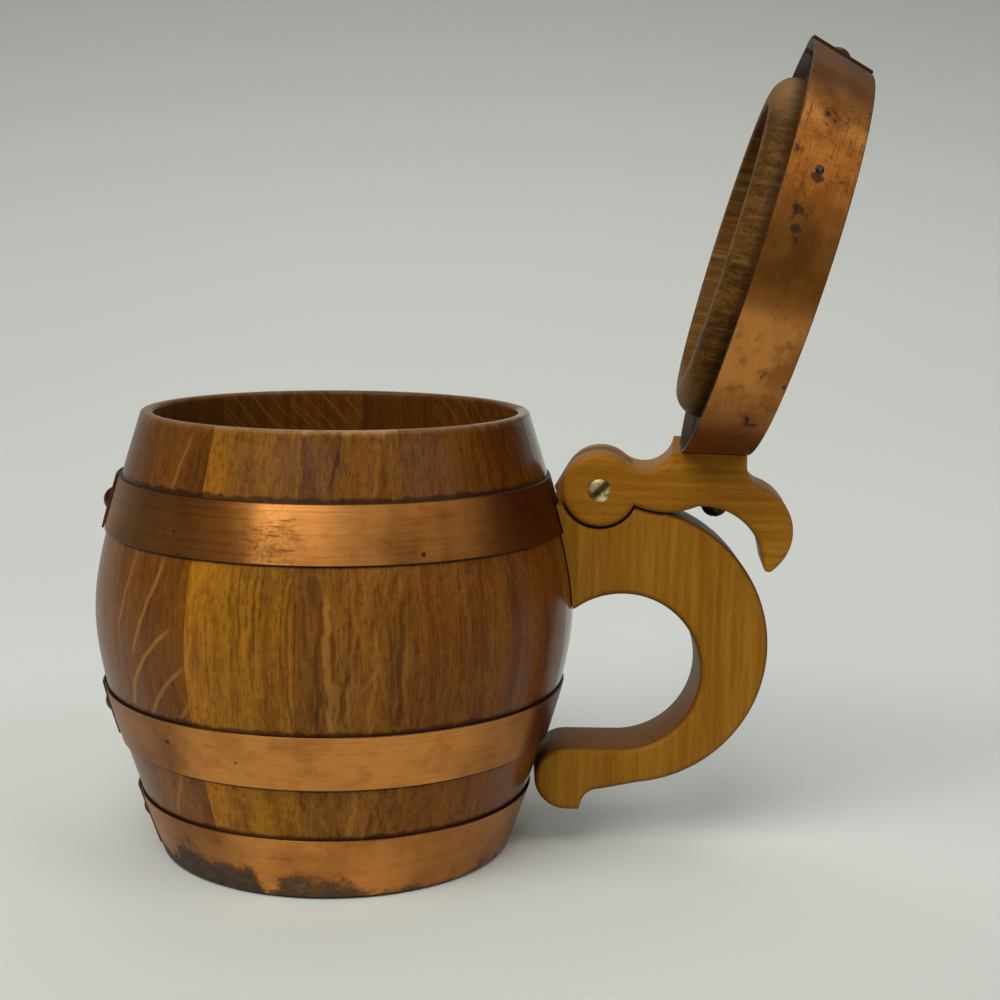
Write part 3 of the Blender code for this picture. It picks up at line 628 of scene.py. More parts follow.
def make_strip(name, body, material, form, low, high, lap, lap_end, matrix=Matrix.Identity(4), cutters=()):
    """Lapped copper strip between the inside and outside of a turned form, and its lap's rivet."""
    inside, outside = form
    middle = (low + high) / 2
    thickness = outside(low) - inside(low)
    depth = 2 * thickness + SEAT_GAP
    lap_middle = lap_end - lap / 2 / inside(middle)
    place = matrix @ fastener_matrix(outside, middle, lap_middle, thickness + SEAT_GAP)
    hole = tube(RIVET_SHANK_RADIUS + HOLE_GAP, -2 * depth, depth), place
    strip = lapped_strip(inside, outside, low, high, lap, lap_end)
    piece(f"{name}_copper", strip, name, body, material, matrix, [hole, *cutters])
    rivet = domed_fastener(RIVET_HEAD_RADIUS, RIVET_HEAD_HEIGHT, RIVET_SHANK_RADIUS, depth)
    piece(f"{name}_rivet_copper", rivet, f"{name}_rivet", body, material, place)


def make_hoop(name, material):
    form = hoop_inside, hoop_outside
    make_strip(name, "mug", material, form, *HOOPS[name], HOOP_LAP, HOOP_LAP_END_ANGLE)


def foot_centre():
    """Centre of the curled foot, whose side bears on the slope of the barrel."""
    step = FOOT_RADIUS / 2
    rise = barrel_radius(FOOT_CENTRE_HEIGHT + step) - barrel_radius(FOOT_CENTRE_HEIGHT - step)
    stretch = hypot(1.0, rise / (2 * step))
    return barrel_radius(FOOT_CENTRE_HEIGHT) + (FOOT_RADIUS + FIT_GAP) * stretch, FOOT_CENTRE_HEIGHT


def rest_circle():
    """Circle of the lever's underside where it lies on the handle, in the hinge's frame."""
    across = PIVOT_REACH + REST_REACH - GRIP_CENTRE[0]
    handle_top = GRIP_CENTRE_HEIGHT + sqrt(GRIP_RADIUS**2 - across**2) - PIVOT_HEIGHT
    notch = polar((0.0, 0.0), KNUCKLE_RADIUS, NOTCH_ANGLE)
    lowest = (REST_REACH, handle_top + FIT_GAP)
    far_end = (notch[0] + REST_LENGTH, notch[1])
    centre, radius = circle_through(notch, lowest, far_end)
    return centre, radius, notch, lowest, far_end


def handle_outline():
    """Board outline in X and Z: tongue, grip, foot, finger hole, and back inside the barrel."""
    pivot = (PIVOT_REACH, PIVOT_HEIGHT)
    grip, finger, foot = GRIP_CENTRE, FINGER_CENTRE, foot_centre()
    centre, radius, notch, lowest, _ = rest_circle()
    rest_radius = (radius + FIT_GAP) * REST_SLACK
    rest = (pivot[0] + centre[0], pivot[1] + lowest[1] - FIT_GAP + rest_radius)
    rest_end = (pivot[0] + lowest[0], pivot[1] + lowest[1] - FIT_GAP)
    spur_angle = asin((FOOT_TIP_WIDTH / 2) / FOOT_RADIUS) - pi / 2
    tip = polar(foot, FOOT_RADIUS, spur_angle)
    spur = (tip[0] + FOOT_TIP_WIDTH / 2 + SPUR_RADIUS, tip[1])
    finger_end = acos(-FINGER_REACH / FINGER_RADIUS)
    deep = barrel_radius(PIVOT_HEIGHT) - STAVE_THICKNESS
    shoulder = arc(pivot, KNUCKLE_RADIUS, TONGUE_SHOULDER_ANGLE, NOTCH_ANGLE)[:-1]
    fall = (shoulder[0][0] - deep) * tan(TONGUE_SHOULDER_ANGLE - pi / 2)
    outline = shoulder
    rest_start = -pi / 2 - asin((centre[0] - notch[0]) / rest_radius)
    outline += arc(rest, rest_radius, rest_start, angle_to(rest, rest_end))[:-1]
    outline += arc(grip, GRIP_RADIUS, angle_to(grip, rest_end), GRIP_END_ANGLE)
    outline += arc(spur, SPUR_RADIUS, pi / 2, pi)
    outline += arc(foot, FOOT_RADIUS, spur_angle, -1.5 * pi)
    outline += arc(finger, FINGER_RADIUS, -pi / 2, finger_end)
    outline += [(deep, outline[-1][1]), (deep, shoulder[0][1] - fall)]
    return outline


def barrel_cutter():
    """Barrel with its hoops, grown by the fit, that shapes the handle's seat."""
    profile = [(0.0, -FIT_GAP), (barrel_radius(0.0) + FIT_GAP, -FIT_GAP)]
    edge = 0.0
    for low, high in sorted(HOOPS.values()):
        low, high = low - FIT_GAP, high + FIT_GAP
        if low > edge:
            profile += [(barrel_radius(z) + FIT_GAP, z) for z in levels(edge, low, SEAT_LEVELS)]
        profile += [(hoop_outside(z) + SEAT_CLEAR, z) for z in levels(max(low, 0.0), high, SEAT_LEVELS)]
        edge = high
    profile += [(barrel_radius(z) + FIT_GAP, z) for z in levels(edge, BARREL_HEIGHT, SEAT_LEVELS)]
    return turned(profile + [(0.0, BARREL_HEIGHT)], TURN_STEPS)


def pocket(near, far):
    """Room for one cheek of the lever's fork beside the handle's tongue."""
    drop_angle = asin(SHOULDER_DROP / POCKET_RADIUS)
    beyond = POCKET_RADIUS + HALF_BOARD * abs(sin(HINGE_SKEW)) + FIT_GAP
    floor = KNUCKLE_RADIUS * sin(NOTCH_ANGLE) - 3 * FIT_GAP
    end_angle = tau + asin(floor / POCKET_RADIUS)
    outline = arc((0.0, 0.0), POCKET_RADIUS, pi + drop_angle, end_angle)
    outline += [(beyond, floor), (beyond, POCKET_RADIUS)]
    outline += [(-PIVOT_REACH, POCKET_RADIUS), (-PIVOT_REACH, -SHOULDER_DROP)]
    return slab(outline, near, far)


def make_handle(material):
    still = Matrix.Identity(4)
    bore = tube(PIVOT_SHANK_RADIUS + HOLE_GAP, -BOARD_THICKNESS, BOARD_THICKNESS)
    cutters = [
        (barrel_cutter(), still),
        (pocket(-BOARD_THICKNESS, -HALF_TONGUE), HINGE),
        (pocket(HALF_TONGUE, BOARD_THICKNESS), HINGE),
        (bore, HINGE @ TO_FRONT),
        *dowel_bores(),
    ]
    bm = board(handle_outline(), -HALF_BOARD, HALF_BOARD)
    piece("handle_board", bm, "handle", "mug", material, cutters=cutters)


def palm_centre():
    """Centre of the hollow under the lever's hook, in the hinge's frame."""
    far_end = rest_circle()[4]
    return far_end[0] + PALM_OFFSET, far_end[1] - sqrt(PALM_RADIUS**2 - PALM_OFFSET**2)


def lever_outline():
    """Lever outline in the hinge's frame: underside, hook, lid seat, dip and knuckle."""
    centre, radius, notch, _, far_end = rest_circle()
    low_edge = lid_to_hinge(BAND_LOW_RADIUS, -BAND_DROP)
    top_edge = lid_to_hinge(band_outside(LID_TOP), LID_TOP)
    sagitta = BAND_LOW_RADIUS - sqrt(BAND_LOW_RADIUS**2 - HALF_BOARD**2)
    seat = max(low_edge[1], top_edge[1]) + sagitta
    end = top_edge[0]
    hook = (end, seat - HOOK_DROP)
    palm = palm_centre()
    tip_reach = HOOK_RADIUS - HOOK_TIP_RADIUS
    tip = polar(hook, tip_reach, HOOK_TIP_ANGLE)
    neck_rise = sqrt((HOOK_RADIUS + HOOK_NECK_RADIUS) ** 2 - HOOK_NECK_RADIUS**2)
    neck = (end + HOOK_NECK_RADIUS, hook[1] + neck_rise)
    dip_height = seat + DIP_RISE
    dip = (sqrt((KNUCKLE_RADIUS + DIP_RADIUS) ** 2 - dip_height**2), dip_height)
    far_side = HALF_BOARD + abs(LID_SHIFT)
    shoulder = seat - sagitta + BAND_LOW_RADIUS - sqrt(BAND_LOW_RADIUS**2 - far_side**2)
    dip_end = -asin((dip_height - shoulder) / DIP_RADIUS)
    meet = angle_to((0.0, 0.0), dip)
    hook_meet = angle_to(hook, neck)
    outline = arc(centre, radius, angle_to(centre, notch), angle_to(centre, far_end))
    outline += arc(palm, PALM_RADIUS, angle_to(palm, far_end), PALM_END_ANGLE)[1:]
    outline += arc(tip, HOOK_TIP_RADIUS, PALM_END_ANGLE - pi, HOOK_TIP_ANGLE)[:-1]
    outline += arc(hook, HOOK_RADIUS, HOOK_TIP_ANGLE, hook_meet)
    outline += arc(neck, HOOK_NECK_RADIUS, hook_meet + pi, pi)[1:]
    outline += [(end, shoulder)]
    outline += arc(dip, DIP_RADIUS, dip_end, meet - pi)
    outline += arc((0.0, 0.0), KNUCKLE_RADIUS, meet, tau + NOTCH_ANGLE)[1:-1]
    return outline


def lid_screw_place():
    """Place of the lid screw's seat, with Z down out of the lever, and its length."""
    palm = palm_centre()
    across = LID_SCREW_REACH - palm[0]
    seat = palm[1] + sqrt(PALM_RADIUS**2 - across**2) + LID_SCREW_SEAT_DEPTH
    length = lid_to_hinge(BAND_LOW_RADIUS, -BAND_DROP)[1] - seat + LID_SCREW_GRIP
    matrix = Matrix.Translation((LID_SCREW_REACH, 0.0, seat)) @ Matrix.Rotation(pi, 4, "X")
    return HINGE @ matrix, length


def lid_screw_bore():
    matrix, length = lid_screw_place()
    return tube(LID_SCREW_SHANK_RADIUS + HOLE_GAP, -length - FIT_GAP, length), matrix


def pivot_profile(gap):
    """Countersunk screw along its axis, its head flush with the board's face."""
    face = HALF_BOARD
    shank = PIVOT_SHANK_RADIUS + gap
    head = PIVOT_HEAD_RADIUS + gap
    end = PIVOT_END_COVER - HALF_BOARD - gap
    return [(0.0, end), (shank, end), (shank, face - head + shank), (head, face)]


def make_lever(material):
    half_slot = HALF_TONGUE + TONGUE_SIDE_GAP
    fork_slot = tube(KNUCKLE_RADIUS + SLOT_END_GAP, -half_slot, half_slot, TURN_STEPS)
    low, high = -2 * BAND_DROP, LID_TOP + BAND_DROP
    seat = [(0.0, low), (band_outside(low) + FIT_GAP, low)]
    seat += [(band_outside(high) + FIT_GAP, high), (0.0, high)]
    bore = pivot_profile(HOLE_GAP)
    bore += [(bore[-1][0], BOARD_THICKNESS), (0.0, BOARD_THICKNESS)]
    screw_matrix, screw_length = lid_screw_place()
    cutters = [
        (fork_slot, HINGE @ TO_FRONT),
        (turned(seat, TURN_STEPS), LID),
        (tube(LID_SCREW_HEAD_RADIUS + FIT_GAP, 0.0, screw_length), screw_matrix),
        lid_screw_bore(),
        (turned(bore, SMALL_TURN_STEPS), HINGE @ TO_FRONT),
    ]
    bm = board(lever_outline(), -HALF_BOARD, HALF_BOARD)
    piece("thumb_lever_board", bm, "thumb_lever", "lid", material, HINGE, cutters)


def driver_slot(top, head_radius, matrix, turn):
    """Cutter for a driver's slot across a screw's head, turned about its axis."""
    bm = bar(DRIVER_SLOT_WIDTH / 2, top - DRIVER_SLOT_DEPTH, 2 * top, 2 * head_radius)
    return bm, matrix @ Matrix.Rotation(turn, 4, "Z")


def make_pivot_screw(material):
    matrix = HINGE @ TO_FRONT
    profile = pivot_profile(0.0) + dome(PIVOT_HEAD_RADIUS, PIVOT_HEAD_DOME, HALF_BOARD)[1:]
    slot = driver_slot(HALF_BOARD + PIVOT_HEAD_DOME, PIVOT_HEAD_RADIUS, matrix, PIVOT_SLOT_TURN)
    bm = turned(profile, SMALL_TURN_STEPS)
    piece("pivot_screw_brass", bm, "pivot_screw", "lid", material, matrix, [slot])


def make_lid_screw(material):
    matrix, length = lid_screw_place()
    radius, height = LID_SCREW_HEAD_RADIUS, LID_SCREW_HEAD_HEIGHT
    slot = driver_slot(height + SEAT_GAP, radius, matrix, LID_SCREW_SLOT_TURN)
    bm = domed_fastener(radius, height, LID_SCREW_SHANK_RADIUS, length)
    piece("lid_screw_steel", bm, "lid_screw", "lid", material, matrix, [slot])


def lid_disc_profile():
    """Turned lid: plug ring with a hollow inside it, seat on the rim, and conical side."""
    floor = HOLLOW_DEPTH - PLUG_DEPTH
    hollow_radius = PLUG_RADIUS - PLUG_RING_WIDTH
    cove = (hollow_radius - HOLLOW_COVE, floor - HOLLOW_COVE)
    plug = (PLUG_RADIUS - PLUG_ROUNDING, PLUG_ROUNDING - PLUG_DEPTH)
    inner = (hollow_radius + PLUG_INNER_EASE, PLUG_INNER_EASE - PLUG_DEPTH)
    side = [(band_inside(z) - FIT_GAP, z) for z in (0.0, LID_TOP - LID_TOP_CHAMFER)]
    profile = [(0.0, floor), (hollow_radius / 2, floor)]
    profile += arc(cove, HOLLOW_COVE, pi / 2, 0.0)
    profile += arc(inner, PLUG_INNER_EASE, pi, 1.5 * pi)
    profile += arc(plug, PLUG_ROUNDING, -pi / 2, 0.0)
    profile += [(PLUG_RADIUS, 0.0), *side]
    profile += [(side[-1][0] - LID_TOP_CHAMFER, LID_TOP), (0.0, LID_TOP)]
    return profile


def make_lid(disc_material, band_material, nail_material):
    place = LID @ fastener_matrix(band_outside, NAIL_HEIGHT - BAND_DROP, NAIL_ANGLE, 0.0)

    def bores():
        nail_bore = tube(NAIL_SHANK_RADIUS + HOLE_GAP, -NAIL_LENGTH - FIT_GAP, NAIL_LENGTH)
        return [(nail_bore, place), lid_screw_bore()]

    disc = turned(lid_disc_profile(), TURN_STEPS)
    piece("lid_disc_oak", disc, "lid_disc", "lid", disc_material, LID, bores())
    form = band_inside, band_outside
    lap = BAND_LAP, BAND_LAP_END_ANGLE
    make_strip("lid_band", "lid", band_material, form, -BAND_DROP, LID_TOP, *lap, LID, bores())
    nail = domed_fastener(NAIL_HEAD_RADIUS, NAIL_HEAD_HEIGHT, NAIL_SHANK_RADIUS, NAIL_LENGTH)
    piece("lid_band_nail_steel", nail, "lid_band_nail", "lid", nail_material, place)


def linear(red, green, blue):
    """Linear colour of an 8-bit display colour."""
    shares = [value / 255 for value in (red, green, blue)]
    return tuple(s / 12.92 if s <= 0.04045 else ((s + 0.055) / 1.055) ** 2.4 for s in shares)


def shade(colour, share):
    return tuple(share * value for value in colour)


# Colours
PALE_RAY = linear(160, 110, 50)
WORN_RIM = linear(178, 142, 90)
PALE_TINT = (1.28, 1.24, 1.3)
UPPER_PAINTED_SHADE = (0.75, 0.72, 0.66)
FOOT_PAINTED_LIGHT = (1.12, 1.12, 1.05)
LID_TOP_TINT = (1.6, 1.6, 1.5)
COPPER = linear(212, 142, 72)
BROWN_COPPER = linear(116, 66, 22)
RED_PATINA_AND_SHADE = linear(84, 30, 8)
RUBBED_COPPER_HIGHLIGHT = linear(236, 168, 92)
COPPER_EDGE_GRIME_AND_SHADE = linear(66, 42, 22)
COPPER_INSIDE_SHADE = linear(70, 52, 38)
CRUST = linear(42, 28, 16)
ASH = linear(78, 52, 28)
SLOT_GRIME_AND_SHADE = linear(60, 44, 18)
PAPER_FRONT_SHADE = linear(120, 122, 118)
PAPER_LOW = linear(190, 194, 187)
PAPER_MIDDLE = linear(216, 219, 212)
PAPER_TOP_SHADE = linear(178, 181, 174)

# Varnish
SOFT_VARNISH = dict(coat_weight=0.7, coat_roughness=0.28, coat_ior=1.2)
SEMI_VARNISH = dict(coat_weight=0.8, coat_roughness=0.2, coat_ior=1.24)
CLEAR_VARNISH = dict(coat_weight=1.0, coat_roughness=0.15, coat_ior=1.3)
BOARD_VARNISH = dict(coat_weight=0.12, coat_roughness=0.3, coat_ior=1.25)

# Sizes of the drawn marks
STROKE_FADE = 0.0025
KNOT_CORE = 0.0012
KNOT_STRETCH = 0.4
KNOT_ROUGHNESS = 0.0042
RIM_WEAR_PATCH = 0.005
RIM_WEAR_SPAN = (BARREL_HEIGHT + 0.0004, BARREL_HEIGHT + 0.0036)
UPPER_PAINTED_SHADE_SPAN = (0.106, 0.120)
FOOT_PAINTED_LIGHT_SPAN = (0.030, 0.046)
SLOT_GRIME_AND_SHADE_SPAN = (0.0006, 0.0015)
MARK_RADIUS = 0.066
CRUST_SOFT = degrees(0.09)
CRUST_DROP = 0.010
ALONG_Y = (pi / 2, 0.0, 0.0)


class Value:
    """Number that the nodes of a material work out."""

    def __init__(self, graph, socket):
        self.graph, self.socket = graph, socket

    def __add__(self, other):
        return self.graph.math("ADD", self, other)

    def __sub__(self, other):
        return self.graph.math("SUBTRACT", self, other)

    def __rsub__(self, other):
        return self.graph.math("SUBTRACT", other, self)

    def __mul__(self, other):
        return self.graph.math("MULTIPLY", self, other)

    def __abs__(self):
        return self.graph.math("ABSOLUTE", self)

    def most(self, other):
        return self.graph.math("MAXIMUM", self, other)

    def rise(self, low, high):
        """From 0 at low to 1 at high, eased and clamped."""
        inputs = {"Value": self, "From Min": low, "From Max": high}
        return self.graph.value("MapRange", inputs, interpolation_type="SMOOTHSTEP")

    def fall(self, low, high):
        return 1.0 - self.rise(low, high)

    def between(self, low, high, soft):
        """1 between two values, fading over a soft margin."""
        return self.rise(low - soft, low + soft) * self.fall(high - soft, high + soft)


class Graph:
    """Short calls for the nodes of one material, whose base colour is painted layer by layer."""

    def __init__(self, name):
        self.material = bpy.data.materials.new(name)
        self.material.use_nodes = True
        self.tree = self.material.node_tree
        self.shader = self.tree.nodes["Principled BSDF"]
        self.here = self.node("TexCoord", {})

    def feed(self, socket, value):
        if isinstance(value, Value):
            value = value.socket
        if isinstance(value, bpy.types.NodeSocket):
            self.tree.links.new(value, socket)
        elif socket.type == "RGBA":
            socket.default_value = (*value, 1.0)
        else:
            socket.default_value = value

    def node(self, kind, inputs, **settings):
        made = self.tree.nodes.new("ShaderNode" + kind)
        for name, value in settings.items():
            setattr(made, name, value)
        for key, value in inputs.items():
            self.feed(made.inputs[key], value)
        return made.outputs

    def value(self, kind, inputs, output=0, **settings):
        return Value(self, self.node(kind, inputs, **settings)[output])

    def math(self, operation, first, second=0.0):
        return self.value("Math", {0: first, 1: second}, operation=operation)

    def distance(self, first, second):
        return self.math("SQRT", first * first + second * second)

    def axes(self, vector):
        return [Value(self, socket) for socket in self.node("SeparateXYZ", {0: vector})]

    def mapping(self, vector, scale=(1, 1, 1), turn=(0, 0, 0), offset=(0, 0, 0)):
        inputs = {"Vector": vector, "Scale": scale, "Rotation": turn, "Location": offset}
        return self.node("Mapping", inputs)[0]

    def place(self, offset=(0, 0, 0), turn=(0, 0, 0)):
        return self.mapping(self.here["Object"], turn=turn, offset=offset)

    def flat(self, vector):
        return self.mapping(vector, (1, 1, 0))

    def noise(self, vector, scale, detail=4, roughness=0.5, distortion=0):
        inputs = {"Vector": self.mapping(vector, scale), "Scale": 1.0, "Detail": detail}
        inputs |= {"Roughness": roughness, "Distortion": distortion}
        return self.value("TexNoise", inputs, "Fac")

    def outward(self):
        """1 where a surface faces out from the axis of the barrel or the lid, 0 where it faces in."""
        inputs = {0: self.flat(self.here["Object"]), 1: self.here["Normal"]}
        return self.value("VectorMath", inputs, "Value", operation="DOT_PRODUCT").rise(-0.01, 0.01)

    def mix(self, factor, first, second, blend="MIX"):
        inputs = {0: factor, 6: first, 7: second}
        return self.node("Mix", inputs, data_type="RGBA", blend_type=blend)[2]

    def paint(self, share, colour, blend="MIX"):
        self.colour = self.mix(share, self.colour, colour, blend)

    def finish(self, roughness, height, depth, strength, **constants):
        """Set the shader: its base colour, a roughness, a bump, and plain constants by socket name."""
        bump = self.node("Bump", {"Height": height, "Distance": depth, "Strength": strength})[0]
        for name, value in (("Base Color", self.colour), ("Roughness", roughness), ("Normal", bump)):
            self.feed(self.shader.inputs[name], value)
        for name, value in constants.items():
            socket = name.replace("_", " ").title().replace("Ior", "IOR")
            self.shader.inputs[socket].default_value = value
        return self.material


def thread(value, width):
    """Thin lines where a noise crosses its middle."""
    return abs(value - 0.5).fall(width * 0.3, width)


def stroke(across, up, low, high, place, slope, bend, width):
    """One bowed line on a board, between two heights, from its place across the board at the lower one."""
    run = up - low
    off = abs(across - (run * slope + run * run * bend + place))
    return off.fall(width * 0.25, width) * up.between(low, high, STROKE_FADE)


def oak_grain(g, spot, light, dark, rays=0.3, figure=0.0, tilt=-18.0):
    """Paint oak with its grain along Z, and give its height and its finest grain.

    Streaks and pores go over light and dark bands, then ray flecks and a wavy figure.
    """
    bands = g.noise(spot, (110, 60, 4), 3, 0.5, 0.4)
    streaks = g.noise(spot, (460, 240, 24), 4, 0.6, 0.3)
    fine = g.noise(spot, (1700, 900, 80), 3, 0.6)
    shimmer = g.noise(spot, (420, 420, 520), 3, 0.6)
    pores = g.noise(spot, (2300, 1300, 200), 2).rise(0.55, 0.68)
    tilted = g.mapping(spot, turn=(0, radians(tilt), 0))
    ray_lines = thread(g.noise(tilted, (120, 60, 9), 2), 0.026)
    ray_lines *= g.noise(spot, (50, 50, 30), 2).rise(0.47, 0.6) * rays
    swirl = g.noise(spot, (150, 60, 15), 3, 0.55, 1.4)
    tone = bands * 0.28 + streaks * 0.33 + fine * 0.22 + shimmer * 0.17
    g.colour = g.mix(tone.rise(0.40, 0.60), dark, light)
    g.paint(streaks.rise(0.56, 0.70) * 0.4, shade(dark, 0.62))
    g.paint(swirl.rise(0.53, 0.68) * figure * 0.55, shade(dark, 0.6))
    g.paint(thread(swirl, 0.06) * figure * 0.3, PALE_RAY)
    g.paint(ray_lines * 0.4, PALE_RAY)
    g.paint(pores * 0.5, shade(dark, 0.42))
    return streaks * 0.35 + fine * 0.35 + (1.0 - pores) * 0.4, fine


def stave_oak(
    number, light, dark, wear=0.3, wobble=0.0006, knots=(), rays_at=(), cracks_at=(), pale=(), inner_rays=(),
    coat=SOFT_VARNISH, **grain,
):
    """Lacquered oak of one stave, worn pale at the rim, with grime and painted shade above each hoop and a
    painted shadow line below it, painted shade on its inner faces and towards the rim, and painted light
    towards the foot.

    Rays and cracks are drawn strokes: (low, high, place, slope, bend, width, strength).
    """
    g = Graph(f"oak_{number + 1:02d}")
    light, dark = linear(*light), linear(*dark)
    angle = FIRST_SEAM_ANGLE + (number + 0.5) * tau / STAVE_COUNT
    facing = g.place(turn=(0, 0, -angle))
    spot = g.mapping(facing, offset=(0.31 * number, 0.17 * number, 0.23 * number))
    height, fine = oak_grain(g, spot, light, dark, **grain)
    x, _, up = g.axes(facing)
    across = x + (g.noise(spot, (60, 60, 90), 3, 0.55) - 0.5) * (wobble * 6)
    outside = g.outward()
    inside = 1.0 - outside
    for left, right, soft, strength in pale:
        g.paint(across.between(left, right, soft) * strength, PALE_TINT, "MULTIPLY")
    for *line, strength in rays_at:
        g.paint(stroke(across, up, *line) * strength, PALE_RAY)
    for *line, strength in inner_rays:
        g.paint(stroke(across, up, *line) * inside * strength, PALE_RAY)
    for *line, strength in cracks_at:
        g.paint(stroke(across, up, *line) * strength, shade(dark, 0.25))
    rough_edge = g.noise(spot, (700, 700, 300), 4, 0.65) * KNOT_ROUGHNESS
    for place, at, reach in knots:
        off = g.distance(across - place, (up - at) * KNOT_STRETCH) + rough_edge
        g.paint(off.fall(KNOT_CORE, KNOT_CORE + reach) * 0.8, shade(dark, 0.25))
    patches = g.noise(spot, (240, 240, 160), 4, 0.6)
    g.paint((up + patches * RIM_WEAR_PATCH).rise(*RIM_WEAR_SPAN) * wear, WORN_RIM)
    for low, high in HOOPS.values():
        # Grime with painted shade above each hoop, and a painted shadow line just below it.
        grime_and_shade = (abs(up - high) - patches * 0.0030).fall(-0.0008, 0.0003)
        shadow = (abs(up - low) - patches * 0.0006).fall(0.0, 0.0005)
        g.paint(grime_and_shade.most(shadow) * outside * 0.8, shade(dark, 0.16))
    # Painted shade: the staves are darkened towards the rim.
    g.paint(up.rise(*UPPER_PAINTED_SHADE_SPAN), UPPER_PAINTED_SHADE, "MULTIPLY")
    # Painted light: the staves are lightened towards the foot, standing for light bounced from the floor.
    g.paint(up.fall(*FOOT_PAINTED_LIGHT_SPAN), FOOT_PAINTED_LIGHT, "MULTIPLY")
    # Painted shade: the inner faces of the staves are darkened.
    g.paint(inside * 0.45, shade(dark, 0.5))
    return g.finish(fine * 0.16 + 0.36, height, 0.0001, 0.5, specular_ior_level=0.05, **coat)


def head_oak():
    """Oak of the bottom head, its grain along Y."""
    g = Graph("oak_head")
    spot = g.place((0.2, 0.4, 0.1), ALONG_Y)
    height, fine = oak_grain(g, spot, linear(118, 72, 24), linear(84, 48, 14), 0.3, 0.3)
    return g.finish(fine * 0.14 + 0.45, height, 0.00012, 0.6, specular_ior_level=0.3)


def lid_oak():
    """Turned oak of the lid, its grain along Y: ridged end grain, its crest and ring ends worn pale with a
    painted highlight, and painted shade in the hollow and on the seat.
    """
    g = Graph("oak_lid")
    light, dark = linear(100, 66, 24), linear(62, 37, 10)
    height, fine = oak_grain(g, g.place((0.4, 0.2, 0.6), ALONG_Y), light, dark, 0.3, 0.2)
    where = g.place()
    x, _, z = g.axes(where)
    radius = g.value("VectorMath", {0: g.flat(where)}, "Value", operation="LENGTH")
    _, facing_side, facing_up = g.axes(g.here["Normal"])
    end_grain = abs(facing_side).rise(0.3, 0.75)
    line = g.node("CombineXYZ", {0: x + z * 0.12, 1: z * 0.03})[0]
    ridges = g.noise(line, (520, 520, 520), 4, 0.62)
    inner = 1.0 - g.outward()
    g.paint(inner * end_grain * 0.55, linear(108, 75, 32))
    g.paint(end_grain * (inner * 0.4 + 0.45) * ridges.rise(0.48, 0.68) * 0.7, linear(140, 102, 48))
    g.paint(end_grain * ridges.fall(0.32, 0.46) * 0.45, linear(42, 25, 9))
    # Crest and ring ends worn pale, partly a painted highlight.
    depth = z + g.noise(where, (160, 160, 160), 5, 0.6) * 0.0016 + PLUG_DEPTH
    highlit_ring_ends = depth.fall(0.0030, 0.0100) * abs(x).rise(0.034, 0.045)
    g.paint((depth.fall(0.0006, 0.0013) * 0.8).most(highlit_ring_ends) * 0.55, linear(132, 99, 54))
    below = facing_up.fall(0.3, 0.7)
    hollow = PLUG_RADIUS - PLUG_RING_WIDTH
    # Painted shade on the floor of the hollow and on the seat round the plug.
    g.paint(radius.fall(hollow - 0.0006, hollow) * below * 0.35, shade(dark, 0.5))
    g.paint(radius.rise(PLUG_RADIUS - 0.0006, PLUG_RADIUS + 0.0004) * below * 0.8, shade(dark, 0.3))
    g.paint(1.0 - below, LID_TOP_TINT, "MULTIPLY")
    height = height * 0.6 + end_grain * ridges * 1.6
    return g.finish(fine * 0.16 + 0.42, height, 0.00025, 0.7, specular_ior_level=0.05)


